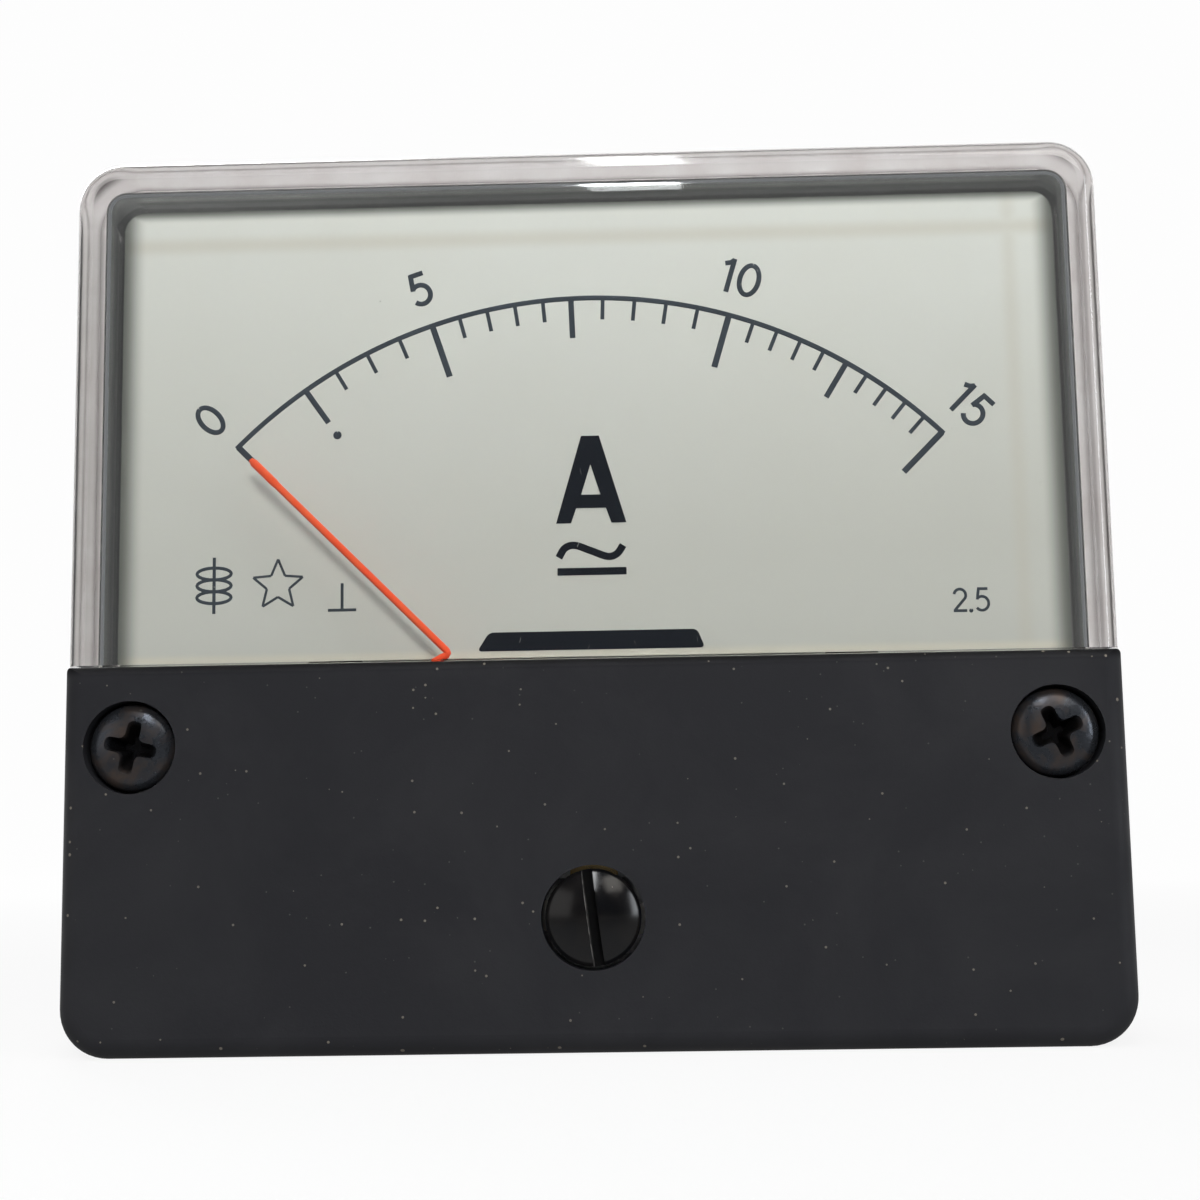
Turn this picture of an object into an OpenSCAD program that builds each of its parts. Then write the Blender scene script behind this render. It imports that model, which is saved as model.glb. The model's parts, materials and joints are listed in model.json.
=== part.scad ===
// Analog panel meter: a moving-iron ammeter in a round-barrel case.
// X runs to the right, Y to the back and Z up, as seen by someone who reads the dial.
// The origin is the centre of the barrel, on the plane of the panel that the meter is bolted to.

/* [Face] */
// Width of the face
face_w = 67; // [65:0.5:76]
// Height of the face
face_h = 58; // [57:0.5:66]
// Depth of the clear window in front of the panel
face_d = 12.3; // [12:0.1:14]
// Radius of the face's four corners
corner_r = 3; // [2.6:0.1:4.5]
// Radius of the edge round the front of both covers
edge_r = 1.3; // [0.8:0.1:1.5]
// Thickness of the covers' side walls
wall = 1.6; // [1.4:0.1:1.8]
// Thickness of the window's front wall
window_t = 2; // [1.8:0.1:2.2]
// Radius of the hollow's edge behind the window
hollow_edge_r = 0.9; // [0.5:0.1:1.2]
// Height of the joint between the window and the black cover
split_z = -4.5; // [-4.9:0.1:-4.1]

/* [Black cover] */
// How far the black cover stands in front of the window
mask_proud = 0.2; // [0.1:0.05:0.4]
// How far the black cover stands out at each side
mask_side_proud = 0.12; // [0.06:0.02:0.3]
// Thickness of the black cover's front
mask_t = 1.2; // [1:0.1:1.4]
// Gap at the joint between the two covers
split_gap = 0.1; // [0.05:0.05:0.2]
// Radius of the black cover's top edge and top corners
mask_lip_r = 0.5; // [0.3:0.1:0.9]

/* [Cover screws] */
// Distance from the face's side to each cover screw
cover_screw_inset = 4.3; // [4.2:0.1:4.6]
// Height of the cover screws
cover_screw_z = -9.75; // [-10.4:0.05:-9.5]
// Thread diameter of the cover screws
cover_screw_d = 3; // [2.5:0.1:3.2]
// Head diameter of the cover screws
cover_head_d = 5.3; // [5:0.1:5.5]
// Height of the cover screws' domed heads
cover_head_h = 1.9; // [1.7:0.1:2.1]
// Diameter of the counterbores that the heads lie in
counterbore_d = 5.9; // [5.7:0.1:6.2]
// Outer diameter of the brass inserts
insert_d = 4.2; // [4:0.1:4.4]
// Length of the brass inserts
insert_len = 4.6; // [4:0.1:5]

/* [Base] */
// Thickness of the base's flange
flange_t = 3; // [2.6:0.1:3.2]
// Height of the lip that locates the covers on the flange
lip_h = 1.5; // [1:0.1:2]
// Thickness of the locating lip
lip_t = 1; // [0.8:0.1:1.2]
// Clearance between the locating lip and the covers
lip_gap = 0.1; // [0.05:0.05:0.2]
// Outer diameter of the barrel
barrel_d = 51; // [50.5:0.5:54]
// Length of the barrel behind the panel
barrel_len = 24; // [23.5:0.5:28]
// Thickness of the barrel's wall
barrel_wall = 1.8; // [1.6:0.1:2.2]
// Thickness of the barrel's back
barrel_back_t = 3; // [2.5:0.1:3.4]
// Radius of the barrel's back edge
barrel_edge_r = 1; // [0.5:0.1:1.5]

/* [Mounting studs] */
// Thread diameter of the mounting studs
stud_d = 3; // [2.5:0.1:4]
// Distance from the face's edges to each mounting stud
stud_inset = 5.5; // [5.2:0.1:6.5]
// Length of the mounting studs behind the panel
stud_len = 14; // [10:0.5:20]
// Length of the thread relief at the foot of the mounting studs
stud_relief_len = 0.4; // [0.3:0.1:0.6]
// Diameter of the mounting studs' heads
stud_head_d = 4.6; // [4.3:0.1:4.8]
// Thickness of the mounting studs' heads
stud_head_t = 1.4; // [1.2:0.1:1.8]

/* [Terminals] */
// Thread diameter of the terminal bolts
terminal_d = 5; // [4:0.1:5.5]
// Distance between the two terminal bolts
terminal_pitch = 26; // [24:0.5:27]
// Height of the terminal bolts
terminal_z = 5; // [4:0.5:7]
// Length of the terminal bolts behind the barrel
terminal_reach = 16; // [14:0.5:22]
// Width across the flats of the terminal bolts' heads and nuts
terminal_flats = 8; // [7.5:0.1:8.4]
// Thickness of the terminal washers
washer_t = 1; // [0.8:0.1:1.2]
// Outer diameter of the terminal washers
washer_d = 10; // [9.5:0.1:10.5]
// Thickness of the thin nuts that hold the terminal bolts
lock_nut_t = 2.7; // [2.4:0.1:3]
// Thickness of the nuts that clamp the cables
cable_nut_t = 4; // [3.5:0.1:4.2]
// Thickness of the spring washers' wire
spring_washer_t = 1.4; // [1.2:0.1:1.6]

/* [Dial] */
// Depth of the dial behind the window's front
dial_depth = 5.8; // [5.4:0.1:6]
// Thickness of the dial plate
dial_t = 0.8; // [0.6:0.1:0.9]
// Clearance between the dial plate and the covers' walls
dial_gap = 0.3; // [0.2:0.1:0.5]
// Height of the two screws that hold the dial
dial_screw_z = -8.2; // [-8.6:0.1:-8]
// Thread diameter of the dial screws
dial_screw_d = 2.2; // [2:0.1:2.4]

/* [Pointer] */
// Height of the pointer's axis
pivot_z = -13.05; // [-13.25:0.05:-12.85]
// Distance from the axis to the pointer's tip
pointer_len = 31.6; // [26:0.1:33]
// Width of the pointer at its foot
pointer_foot_w = 0.95; // [0.8:0.05:1.1]
// Width of the pointer near its tip
pointer_tip_w = 0.42; // [0.3:0.02:0.6]
// Thickness of the pointer's blade
pointer_t = 0.25; // [0.2:0.05:0.3]
// Height of the pointer's blade in front of the dial
pointer_gap = 2.4; // [2.2:0.1:2.6]
// Angle that the pointer turns through from the zero mark to the last mark
sweep = 90; // [80:1:92]
// Angle that the pointer can turn past either end of the scale
overtravel = 3; // [2:0.5:4]

/* [Zero adjuster] */
// Height of the zero adjuster
adjuster_z = -20.8; // [-21.1:0.1:-20.5]
// Head diameter of the zero adjuster
adjuster_head_d = 6; // [5.5:0.1:6.2]
// Diameter of the hole in the black cover round the head
adjuster_hole_d = 6.5; // [6.3:0.1:7]
// Height of the zero adjuster's dome in front of the black cover
adjuster_dome = 0.6; // [0.3:0.1:1]
// Diameter of the zero adjuster's shank
adjuster_shank_d = 3; // [2.8:0.1:3.4]
// Diameter of the zero adjuster's eccentric pin
adjuster_pin_d = 1.2; // [1:0.1:1.2]
// Width of the screwdriver slot
adjuster_slot_w = 0.65; // [0.5:0.05:0.8]
// Angle of the screwdriver slot from the vertical, as it was left
adjuster_slot_angle = -7; // [-30:1:30]

/* [Coil] */
// Diameter of the copper wire
wire_d = 1.7; // [1.5:0.05:1.75]
// Number of turns in each layer of the winding
turns = 7; // [6:1:8]
// Clearance between the bobbin and the barrel's wall
coil_gap = 0.65; // [0.5:0.05:0.8]
// Thickness of the bobbin's tube
bobbin_tube_t = 0.8; // [0.6:0.1:0.9]
// Thickness of the bobbin's two flanges
bobbin_flange_t = 1; // [0.8:0.1:1.2]

/* [Movement] */
// Thickness of the movement's mounting plate
plate_t = 1; // [0.8:0.1:1.1]
// Depth of the air-damping chamber
chamber_d = 5; // [4.6:0.1:5.4]
// Outer radius of the air-damping chamber
chamber_r = 17.5; // [17:0.1:17.8]
// Thickness of the chamber's walls
chamber_wall = 1; // [0.8:0.1:1.2]
// Thickness of the sheet that the front bridge is folded from
front_sheet_t = 0.7; // [0.6:0.05:0.75]
// Thickness of the sheet that the rear bridge is folded from
rear_sheet_t = 1; // [0.8:0.1:1.2]
// Diameter of the spindle
spindle_d = 1; // [0.9:0.05:1.1]
// Thickness of the soft-iron vanes
iron_t = 0.4; // [0.3:0.05:0.5]
// Number of turns of the hairspring
hairspring_turns = 6; // [5:1:6]
// Thickness of the hairspring's ribbon
ribbon_t = 0.1; // [0.08:0.02:0.14]

/* [Hidden] */
$fn = 48;
LEFT = -1;
RIGHT = 1;
SIDES = [LEFT, RIGHT];
past = 1; // how far a cut runs past the surface it opens

// Depths, from the front to the back
face_y = -face_d;
mask_y = face_y - mask_proud;
apron_y = mask_y + mask_t;
inner_y = face_y + window_t;
flange_y = -flange_t;
dial_y = face_y + dial_depth;
dial_back_y = dial_y + dial_t;
pointer_y = dial_y - pointer_gap;

// Hollow inside the two covers
hollow_w = face_w - 2 * wall;
hollow_h = face_h - 2 * wall;
hollow_r = corner_r - wall;

// Cover screws, the posts under them and the bosses over them
cover_screw_x = face_w / 2 - cover_screw_inset;
cover_seat_y = mask_y + cover_head_h;
boss_floor_t = 0.8;
boss_r = counterbore_d / 2 + 0.75;
post_y = cover_seat_y + boss_floor_t;
post_r = insert_d / 2 + 0.5;
cover_screw_tip_y = post_y + insert_len + 0.6;
post_hole_y = cover_screw_tip_y + 0.3;

// Mounting studs: a knurled collar holds each one in the flange
stud_collar_r = stud_d / 2 + 0.4;
stud_thread_h = 0.35;

// Apron: the window's thinner part, which the black cover hides
apron_gap = 0.3;
mask_hollow_edge_r = 0.25;
apron_w = hollow_w - 2 * apron_gap;
apron_foot_z = adjuster_z - 3.9;
boss_gap = 0.15;
apron_relief_r = 3.6;

// Small screws: a head's radius and height, as shares of the thread
small_head_h = 1;
function head_r(d) = 0.84 * d;

// Movement plate, which hangs behind the dial on two bosses of the base
plate_screw_d = 2.6;
plate_head_gap = 0.3;
plate_thread_len = 7;
plate_y = dial_back_y + plate_head_gap + small_head_h;
plate_back_y = plate_y + plate_t;
barrel_ri = barrel_d / 2 - barrel_wall;
plate_boss_r = 3;
plate_boss_x = barrel_ri - plate_boss_r + 0.2;
plate_ear_r = 3.1;
plate_drop = 5.5;

// Dial: two ears reach down under the black cover, to screws in posts of the base
dial_w = hollow_w - 2 * dial_gap;
dial_top_z = hollow_h / 2 - dial_gap;
dial_foot_z = split_z - 1.5;
dial_notch_z = split_z - 0.25;
dial_ear_outer_x = cover_screw_x - post_r - 0.4;
dial_post_r = 2;
dial_screw_x = dial_ear_outer_x - dial_post_r - 1.4;
dial_ear_inner_x = dial_screw_x - dial_post_r - 1.8;
dial_rest_x = 20;
dial_rest_inset = 7;
dial_rest_z = face_h / 2 - dial_rest_inset;
dial_thread_len = 5;
dial_rib_t = 1.2;

// Coil, bobbin and chamber
chamber_back_y = plate_back_y + chamber_d;
bobbin_rim = 0.3;
bobbin_bore_r = barrel_ri + pivot_z - coil_gap - bobbin_rim - 2 * wire_d - bobbin_tube_t;
winding_r = bobbin_bore_r + bobbin_tube_t;
layer_r = winding_r + 1.5 * wire_d;
winding_outer_r = winding_r + 2 * wire_d;
bobbin_flange_r = winding_outer_r + bobbin_rim;
winding_y = chamber_back_y + bobbin_flange_t;
winding_len = turns * wire_d;
bobbin_back_y = winding_y + winding_len + bobbin_flange_t;

// Bridges
bridge_w = 5;
front_bridge_gap = 0.35;
front_bridge_y = inner_y + front_bridge_gap;
front_bridge_back_y = front_bridge_y + front_sheet_t;
rear_leg_x = bobbin_flange_r + 0.4;
front_leg_x = rear_leg_x + 1.5;
bridge_screw_d = 2.4;
bridge_screw_x = front_leg_x + front_sheet_t + head_r(bridge_screw_d) + 0.3;
bridge_foot_x = bridge_screw_x + head_r(bridge_screw_d);
rear_bridge_back_y = bobbin_back_y + rear_sheet_t;
jewel_screw_d = 2.2;
jewel_nut_flats = 3.6;
jewel_nut_t = 0.9;
jewel_cup_r = 0.45;
jewel_cup_h = 0.45;

// Zero lever, on a boss behind the front bridge
lever_boss_h = 0.55;
lever_boss_r = 2;
lever_boss_back_y = front_bridge_back_y + lever_boss_h;
lever_t = 0.3;
lever_y = front_bridge_back_y + 0.15;
lever_fit = 0.04;
lever_ring_w = 1.1;
fork_gap = 0.12;
fork_prong_w = 0.8;

// Zero adjuster
adjuster_drop = pivot_z - adjuster_z;
adjuster_fit = 0.05;
clip_t = 0.3;
adjuster_shank_r = adjuster_shank_d / 2;
adjuster_groove_r = adjuster_shank_r - 0.3;
adjuster_shank_y = inner_y + clip_t + 0.35;
adjuster_pin_r = adjuster_pin_d / 2;
adjuster_throw = adjuster_shank_r - adjuster_pin_r - 0.05;

// Spindle and what rides on it, from the front
front_jewel_y = lever_boss_back_y - 0.15;
spindle_front_y = front_jewel_y - jewel_cup_h + 0.08;
rear_jewel_y = bobbin_back_y - 0.2;
spindle_rear_y = rear_jewel_y + jewel_cup_h - 0.08;
spindle_r = spindle_d / 2;
pivot_r = 0.2;
ribbon_h = 0.3;
ribbon_y = lever_boss_back_y + 0.1;
ribbon_step = 0.24;
collet_r = 1;
pointer_foot_y = ribbon_y + ribbon_h + 0.2;
cross_y = pointer_foot_y + pointer_t;
cross_t = 0.4;
hub_r = 1.5;
sleeve_r = spindle_r + 0.4;
crank_start = 4.4;
crank_end = 6.9;
spring_peg = 0.5;
hairspring_end = collet_r + ribbon_t / 2 + 2 * hairspring_turns * ribbon_step;

// Balance of the moving system
cross_arm_w = 0.5;
tail_arm = 6.2;
side_arm = 5.4;
weight_len = 1.5;
tail_weight_at = 4.9;
side_weight_at = 4.5;
weight_r = 0.6;

// Air damping: the vane swings behind the plate and stays clear of the chamber's walls
rest_angle = -sweep / 2;
chamber_half_angle = sweep / 2 + overtravel + 16;
chamber_hole_r = bobbin_bore_r - 0.9;
chamber_inner_r = bobbin_bore_r + 0.2;
vane_t = 0.2;
vane_gap = 0.5;
vane_tip_r = chamber_r - chamber_wall - 0.8;
vane_root_r = chamber_inner_r + chamber_wall + 0.6;
vane_arm_h = 1;

// Soft-iron vanes in the bore of the bobbin
iron_gap = 1.2;
moving_iron_r = bobbin_bore_r - iron_t - 0.9;
moving_iron_angle = 37.5;
fixed_iron_angle = 110;
iron_inset = 2.5;

// Pointer stops stand on the movement plate, either side of the blade
stop_pin_r = 0.5;
stop_reach = 8.5;
stop_front_y = pointer_y - 0.4;
function blade_w(r) = pointer_foot_w + (pointer_tip_w - pointer_foot_w) * r / pointer_len;
stop_angle = sweep / 2 + overtravel + asin((blade_w(stop_reach) / 2 + stop_pin_r + 0.06) / stop_reach);

// Terminals
terminal_x = terminal_pitch / 2;
floor_y = barrel_len - barrel_back_t;
tag_t = 0.8;
tag_w = 4.4;
tag_y = floor_y - tag_t;
bolt_head_t = 3.5;
tag_reach = 8.5;
tag_foot_z = terminal_z - tag_reach;
lock_nut_y = barrel_len + washer_t;
outer_washer_y = lock_nut_y + lock_nut_t;
spring_washer_y = outer_washer_y + washer_t;
cable_nut_y = spring_washer_y + spring_washer_t;
terminal_end_y = barrel_len + terminal_reach;
terminal_tip = 0.5;

// Leads from the coil to the tags
lead_x = winding_outer_r - wire_d / 2;
lead_end_y = tag_y - wire_d / 2;
lead_end_z = terminal_z - terminal_flats / 2 / cos(30) - 0.5;
bend_r = 1.9;
bend_z = tag_foot_z - bend_r;

// ---------- Helpers ----------

// A flat outline drawn in X and Z, between the depths y0 and y1
module slab(y0, y1)
    translate([0, y1, 0]) rotate([90, 0, 0]) linear_extrude(y1 - y0) children();

// A profile drawn as radius and depth, turned about the line along Y through [x, z]
module turned(x = 0, z = 0)
    translate([x, 0, z]) rotate([-90, 0, 0]) rotate_extrude() children();

// A round bar along Y
module bar(x, z, r, y0, y1)
    translate([x, y0, z]) rotate([-90, 0, 0]) cylinder(h = y1 - y0, r = r);

// A hexagonal bar along Y, by its width across the flats
module hex_bar(x, z, flats, y0, y1)
    translate([x, y0, z]) rotate([-90, 0, 0]) cylinder(h = y1 - y0, d = flats / cos(30), $fn = 6);

module round_rect(w, h, r) {
    square([w, h - 2 * r], center = true);
    square([w - 2 * r, h], center = true);
    for (x = SIDES, z = SIDES) translate([x * (w / 2 - r), z * (h / 2 - r)]) circle(r);
}

// A section of a moulded front, whose two front edges are rounded
module front_section(half, y0, y1, e) {
    translate([-half, y0 + e]) square([2 * half, y1 - y0 - e]);
    translate([e - half, y0]) square([2 * (half - e), y1 - y0]);
    for (x = SIDES) translate([x * (half - e), y0 + e]) circle(e);
}

// A moulded block with round corners of radius r and a round front edge of radius e
module moulded(w, h, y0, y1, r, e) {
    long = w / 2 - r;
    tall = h / 2 - r;
    translate([0, 0, -tall]) linear_extrude(2 * tall) front_section(w / 2, y0, y1, e);
    translate([-long, 0, 0]) rotate([90, 0, 90]) linear_extrude(2 * long)
        mirror([1, -1]) front_section(h / 2, y0, y1, e);
    for (quarter = [0:3]) {
        x = quarter == 0 || quarter == 3 ? long : -long;
        z = quarter < 2 ? -tall : tall;
        translate([x, 0, z]) rotate([0, 90 * quarter, 0]) rotate([-90, 0, 0])
            rotate_extrude(angle = 90) intersection() {
                front_section(r, y0, y1, e);
                translate([0, y0 - past]) square([r + past, y1 - y0 + 2 * past]);
            }
    }
}

// Everything above or below a height, for parting the two covers
module above(z) translate([-face_w, 2 * face_y, z]) cube([2 * face_w, 4 * face_d, face_h]);
module below(z) translate([0, 0, z - face_h]) above(0);

// Things that turn with the pointer: drawn as if it pointed straight up
module on_spindle(angle = rest_angle) translate([0, 0, pivot_z]) rotate([0, angle, 0]) children();

// A wedge that opens upwards, half_angle to each side of the middle
module wedge(reach, half_angle)
    polygon([
        [0, 0],
        [-reach * sin(half_angle), reach * cos(half_angle)],
        [-reach, 2 * reach],
        [reach, 2 * reach],
        [reach * sin(half_angle), reach * cos(half_angle)]
    ]);

// A sector of a ring, half_angle to each side of straight up
module sector(r_in, r_out, half_angle)
    intersection() {
        difference() {
            circle(r_out);
            if (r_in > 0) circle(r_in);
        }
        wedge(2 * r_out, half_angle);
    }

// A screw head with a straight slot, for the small screws inside
module slotted_screw(x, z, d, seat_y, tip_y) {
    difference() {
        bar(x, z, head_r(d), seat_y - small_head_h, seat_y);
        translate([x - d, seat_y - small_head_h - past, z - d / 10])
            cube([2 * d, past + small_head_h / 2, d / 5]);
    }
    bar(x, z, d / 2, seat_y, tip_y);
}

// A domed head: a cylinder under a ball whose top stands dome in front of its rim
module domed_head(x, z, r, y0, y1, dome) {
    ball_r = (r * r + dome * dome) / (2 * dome);
    intersection() {
        bar(x, z, r, y0, y1);
        translate([x, y0 + ball_r, z]) sphere(ball_r, $fn = 96);
    }
}

// ---------- Case ----------

module base_posts() {
    rib_x0 = min(dial_screw_x, barrel_ri - 0.5);
    rib_x1 = max(dial_screw_x, barrel_ri + 0.5);
    for (s = SIDES) {
        translate([s > 0 ? rib_x0 : -rib_x1, dial_back_y + 1, dial_screw_z - dial_rib_t / 2])
            cube([rib_x1 - rib_x0, flange_y / 2 - dial_back_y - 1, dial_rib_t]);
        bar(s * cover_screw_x, cover_screw_z, post_r, post_y, flange_y + 0.5);
        bar(s * dial_screw_x, dial_screw_z, dial_post_r, dial_back_y, flange_y / 2);
        bar(s * dial_rest_x, dial_rest_z, dial_post_r, dial_back_y, flange_y + 0.5);
        bar(s * plate_boss_x, 0, plate_boss_r, plate_back_y, floor_y + 0.5);
    }
}

module base_holes() {
    for (s = SIDES) {
        bar(s * cover_screw_x, cover_screw_z, insert_d / 2, post_y - past, post_y + insert_len);
        bar(s * cover_screw_x, cover_screw_z, cover_screw_d / 2, post_y, post_hole_y);
        bar(s * dial_screw_x, dial_screw_z, dial_screw_d / 2, dial_back_y - past, dial_back_y + dial_thread_len + 0.5);
        bar(s * plate_boss_x, 0, plate_screw_d / 2, plate_back_y - past,
            plate_back_y + plate_thread_len + 1.5);
        bar(s * terminal_x, terminal_z, terminal_d / 2, floor_y - past, barrel_len + past);
        for (t = SIDES) {
            x = s * (face_w / 2 - stud_inset);
            z = t * (face_h / 2 - stud_inset);
            bar(x, z, stud_collar_r, flange_y - past, past);
            bar(x, z, stud_head_d / 2, flange_y - past, flange_y + stud_head_t);
        }
    }
}

module base() color("#1d1e21") difference() {
    union() {
        slab(flange_y, 0) round_rect(face_w, face_h, corner_r);
        slab(flange_y - lip_h, flange_y + 0.5) difference() {
            round_rect(hollow_w - 2 * lip_gap, hollow_h - 2 * lip_gap, hollow_r - lip_gap);
            round_rect(hollow_w - 2 * (lip_gap + lip_t), hollow_h - 2 * (lip_gap + lip_t), 0.4);
        }
        difference() {
            turned() {
                square([barrel_d / 2, barrel_len - barrel_edge_r]);
                square([barrel_d / 2 - barrel_edge_r, barrel_len]);
                translate([barrel_d / 2 - barrel_edge_r, barrel_len - barrel_edge_r])
                    circle(barrel_edge_r);
            }
            bar(0, 0, barrel_ri, -past, floor_y);
        }
        base_posts();
    }
    difference() {
        bar(0, 0, barrel_ri, flange_y - past, floor_y);
        base_posts();
        slab(flange_y - lip_h - past, flange_y) difference() {
            round_rect(face_w, face_h, corner_r);
            round_rect(hollow_w - 2 * (lip_gap + lip_t), hollow_h - 2 * (lip_gap + lip_t), 0.4);
        }
    }
    base_holes();
}

module clear_cover() color("#e6ecec", 0.35) difference() {
    union() {
        difference() {
            intersection() {
                moulded(face_w, face_h, face_y, flange_y, corner_r, edge_r);
                above(split_z);
            }
            moulded(hollow_w, hollow_h, inner_y, flange_y + past, hollow_r, hollow_edge_r);
        }
        slab(apron_y, inner_y) translate([-apron_w / 2, apron_foot_z])
            square([apron_w, split_z - apron_foot_z + 0.5]);
    }
    for (s = SIDES)
        bar(s * cover_screw_x, cover_screw_z, boss_r + boss_gap, apron_y - past, inner_y + past);
    bar(0, adjuster_z, adjuster_shank_r + adjuster_fit, apron_y - past, inner_y + past);
    bar(0, pivot_z, apron_relief_r, apron_y - past, inner_y + past);
}

// What is taken off a square edge along X to leave it round
module edge_waste(r) difference() {
    translate([-past, -past]) square([r + past, r + past]);
    translate([r, r]) circle(r);
}

module black_cover() {
    top_z = split_z - split_gap;
    half_w = face_w / 2 + mask_side_proud;
    color("#26282b") difference() {
        union() {
            difference() {
                intersection() {
                    moulded(
                        2 * half_w, face_h + 2 * mask_side_proud,
                        mask_y, flange_y, corner_r + mask_side_proud, edge_r
                    );
                    below(top_z);
                }
                moulded(hollow_w, hollow_h, apron_y, flange_y + past, hollow_r, mask_hollow_edge_r);
            }
            for (s = SIDES)
                bar(s * cover_screw_x, cover_screw_z, boss_r, mask_y + mask_t / 2, post_y);
        }
        for (s = SIDES) {
            bar(s * cover_screw_x, cover_screw_z, counterbore_d / 2, mask_y - past, cover_seat_y);
            bar(s * cover_screw_x, cover_screw_z, cover_screw_d / 2 + 0.2, mask_y, post_y + past);
        }
        bar(0, adjuster_z, adjuster_hole_d / 2, mask_y - past, apron_y + past);
        translate([-face_w, mask_y, top_z]) rotate([90, 0, 90]) linear_extrude(2 * face_w)
            mirror([0, 1]) edge_waste(mask_lip_r);
        for (s = SIDES)
            slab(mask_y - past, flange_y + past) translate([s * half_w, top_z])
                mirror([s > 0 ? 1 : 0, 0]) mirror([0, 1]) edge_waste(mask_lip_r);
    }
}

module cover_screw(s) {
    x = s * cover_screw_x;
    wing = 0.27 * cover_head_d;
    color("#2b2b2d") {
        difference() {
            domed_head(x, cover_screw_z, cover_head_d / 2, mask_y, cover_seat_y, 0.75 * cover_head_h);
            for (turn = [8, 98]) translate([x, mask_y, cover_screw_z]) rotate([0, turn, 0])
                translate([0, 0, -0.34]) linear_extrude(0.68)
                    polygon([
                        [-wing, -past], [wing, -past], [wing, 0.2],
                        [wing / 4, 0.7 * cover_head_h], [-wing / 4, 0.7 * cover_head_h], [-wing, 0.2]
                    ]);
        }
        bar(x, cover_screw_z, cover_screw_d / 2, cover_seat_y, cover_screw_tip_y);
    }
}

module cover_insert(s) color("#c9a24a") difference() {
    bar(s * cover_screw_x, cover_screw_z, insert_d / 2, post_y, post_y + insert_len);
    bar(s * cover_screw_x, cover_screw_z, cover_screw_d / 2, post_y - past, post_y + insert_len + past);
}

module mounting_stud(s, t) color("#c2c4c6") {
    x = s * (face_w / 2 - stud_inset);
    z = t * (face_h / 2 - stud_inset);
    bar(x, z, stud_head_d / 2, flange_y, flange_y + stud_head_t);
    bar(x, z, stud_collar_r, flange_y + stud_head_t, 0);
    bar(x, z, stud_d / 2 - stud_thread_h, 0, stud_relief_len);
    bar(x, z, stud_d / 2, stud_relief_len, stud_len - stud_thread_h);
    turned(x, z) polygon([
        [0, stud_len - stud_thread_h],
        [stud_d / 2, stud_len - stud_thread_h],
        [stud_d / 2 - stud_thread_h, stud_len],
        [0, stud_len]
    ]);
}

// ---------- Terminals ----------

module terminal_bolt(s) color("#c9a24a") {
    x = s * terminal_x;
    hex_bar(x, terminal_z, terminal_flats, tag_y - bolt_head_t, tag_y);
    bar(x, terminal_z, terminal_d / 2, tag_y, terminal_end_y - terminal_tip);
    turned(x, terminal_z) polygon([
        [0, terminal_end_y - terminal_tip],
        [terminal_d / 2, terminal_end_y - terminal_tip],
        [terminal_d / 2 - terminal_tip, terminal_end_y],
        [0, terminal_end_y]
    ]);
}

module solder_tag(s) color("#d8d4c4") slab(tag_y, floor_y) difference() {
    union() {
        translate([s * terminal_x, terminal_z]) circle(terminal_flats / 2);
        translate([s * terminal_x - tag_w / 2, tag_foot_z]) square([tag_w, terminal_z - tag_foot_z]);
    }
    translate([s * terminal_x, terminal_z]) circle(terminal_d / 2);
}

module ring(s, outer_d, y0, y1) difference() {
    bar(s * terminal_x, terminal_z, outer_d / 2, y0, y1);
    bar(s * terminal_x, terminal_z, terminal_d / 2, y0 - past, y1 + past);
}

module inner_washer(s) color("#c9a24a") ring(s, washer_d, barrel_len, lock_nut_y);

module outer_washer(s) color("#c9a24a") ring(s, washer_d, outer_washer_y, spring_washer_y);

module terminal_nut(s, y0, t) color("#c9a24a") difference() {
    hex_bar(s * terminal_x, terminal_z, terminal_flats, y0, y0 + t);
    bar(s * terminal_x, terminal_z, terminal_d / 2, y0 - past, y0 + t + past);
}

module spring_washer(s) color("#b98d3e") difference() {
    ring(s, terminal_d + 3.6, spring_washer_y, cable_nut_y);
    translate([s * terminal_x, spring_washer_y + spring_washer_t / 2, terminal_z])
        rotate([0, 35, 0]) translate([-0.3, -spring_washer_t, 0])
            cube([0.6, 2 * spring_washer_t, terminal_d + past]);
}

// ---------- Dial ----------

module dial_plate() color("#d3d5cb") slab(dial_y, dial_back_y) difference() {
    union() {
        intersection() {
            round_rect(dial_w, 2 * dial_top_z, hollow_r);
            translate([-face_w, dial_foot_z]) square([2 * face_w, face_h]);
        }
        for (s = SIDES) translate([s * (dial_ear_inner_x + dial_ear_outer_x) / 2, 0])
            translate([(dial_ear_inner_x - dial_ear_outer_x) / 2, dial_screw_z - dial_post_r - 0.2])
                square([dial_ear_outer_x - dial_ear_inner_x, -dial_screw_z + dial_post_r + 0.2]);
    }
    translate([-dial_ear_inner_x, dial_notch_z - face_h]) square([2 * dial_ear_inner_x, face_h]);
    for (s = SIDES) translate([s * dial_screw_x, dial_screw_z]) circle(dial_screw_d / 2 + 0.1);
}

module dial_screw(s) color("#b9bbbd")
    slotted_screw(s * dial_screw_x, dial_screw_z, dial_screw_d, dial_y, dial_back_y + dial_thread_len);

// ---------- Zero adjustment ----------

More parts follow.
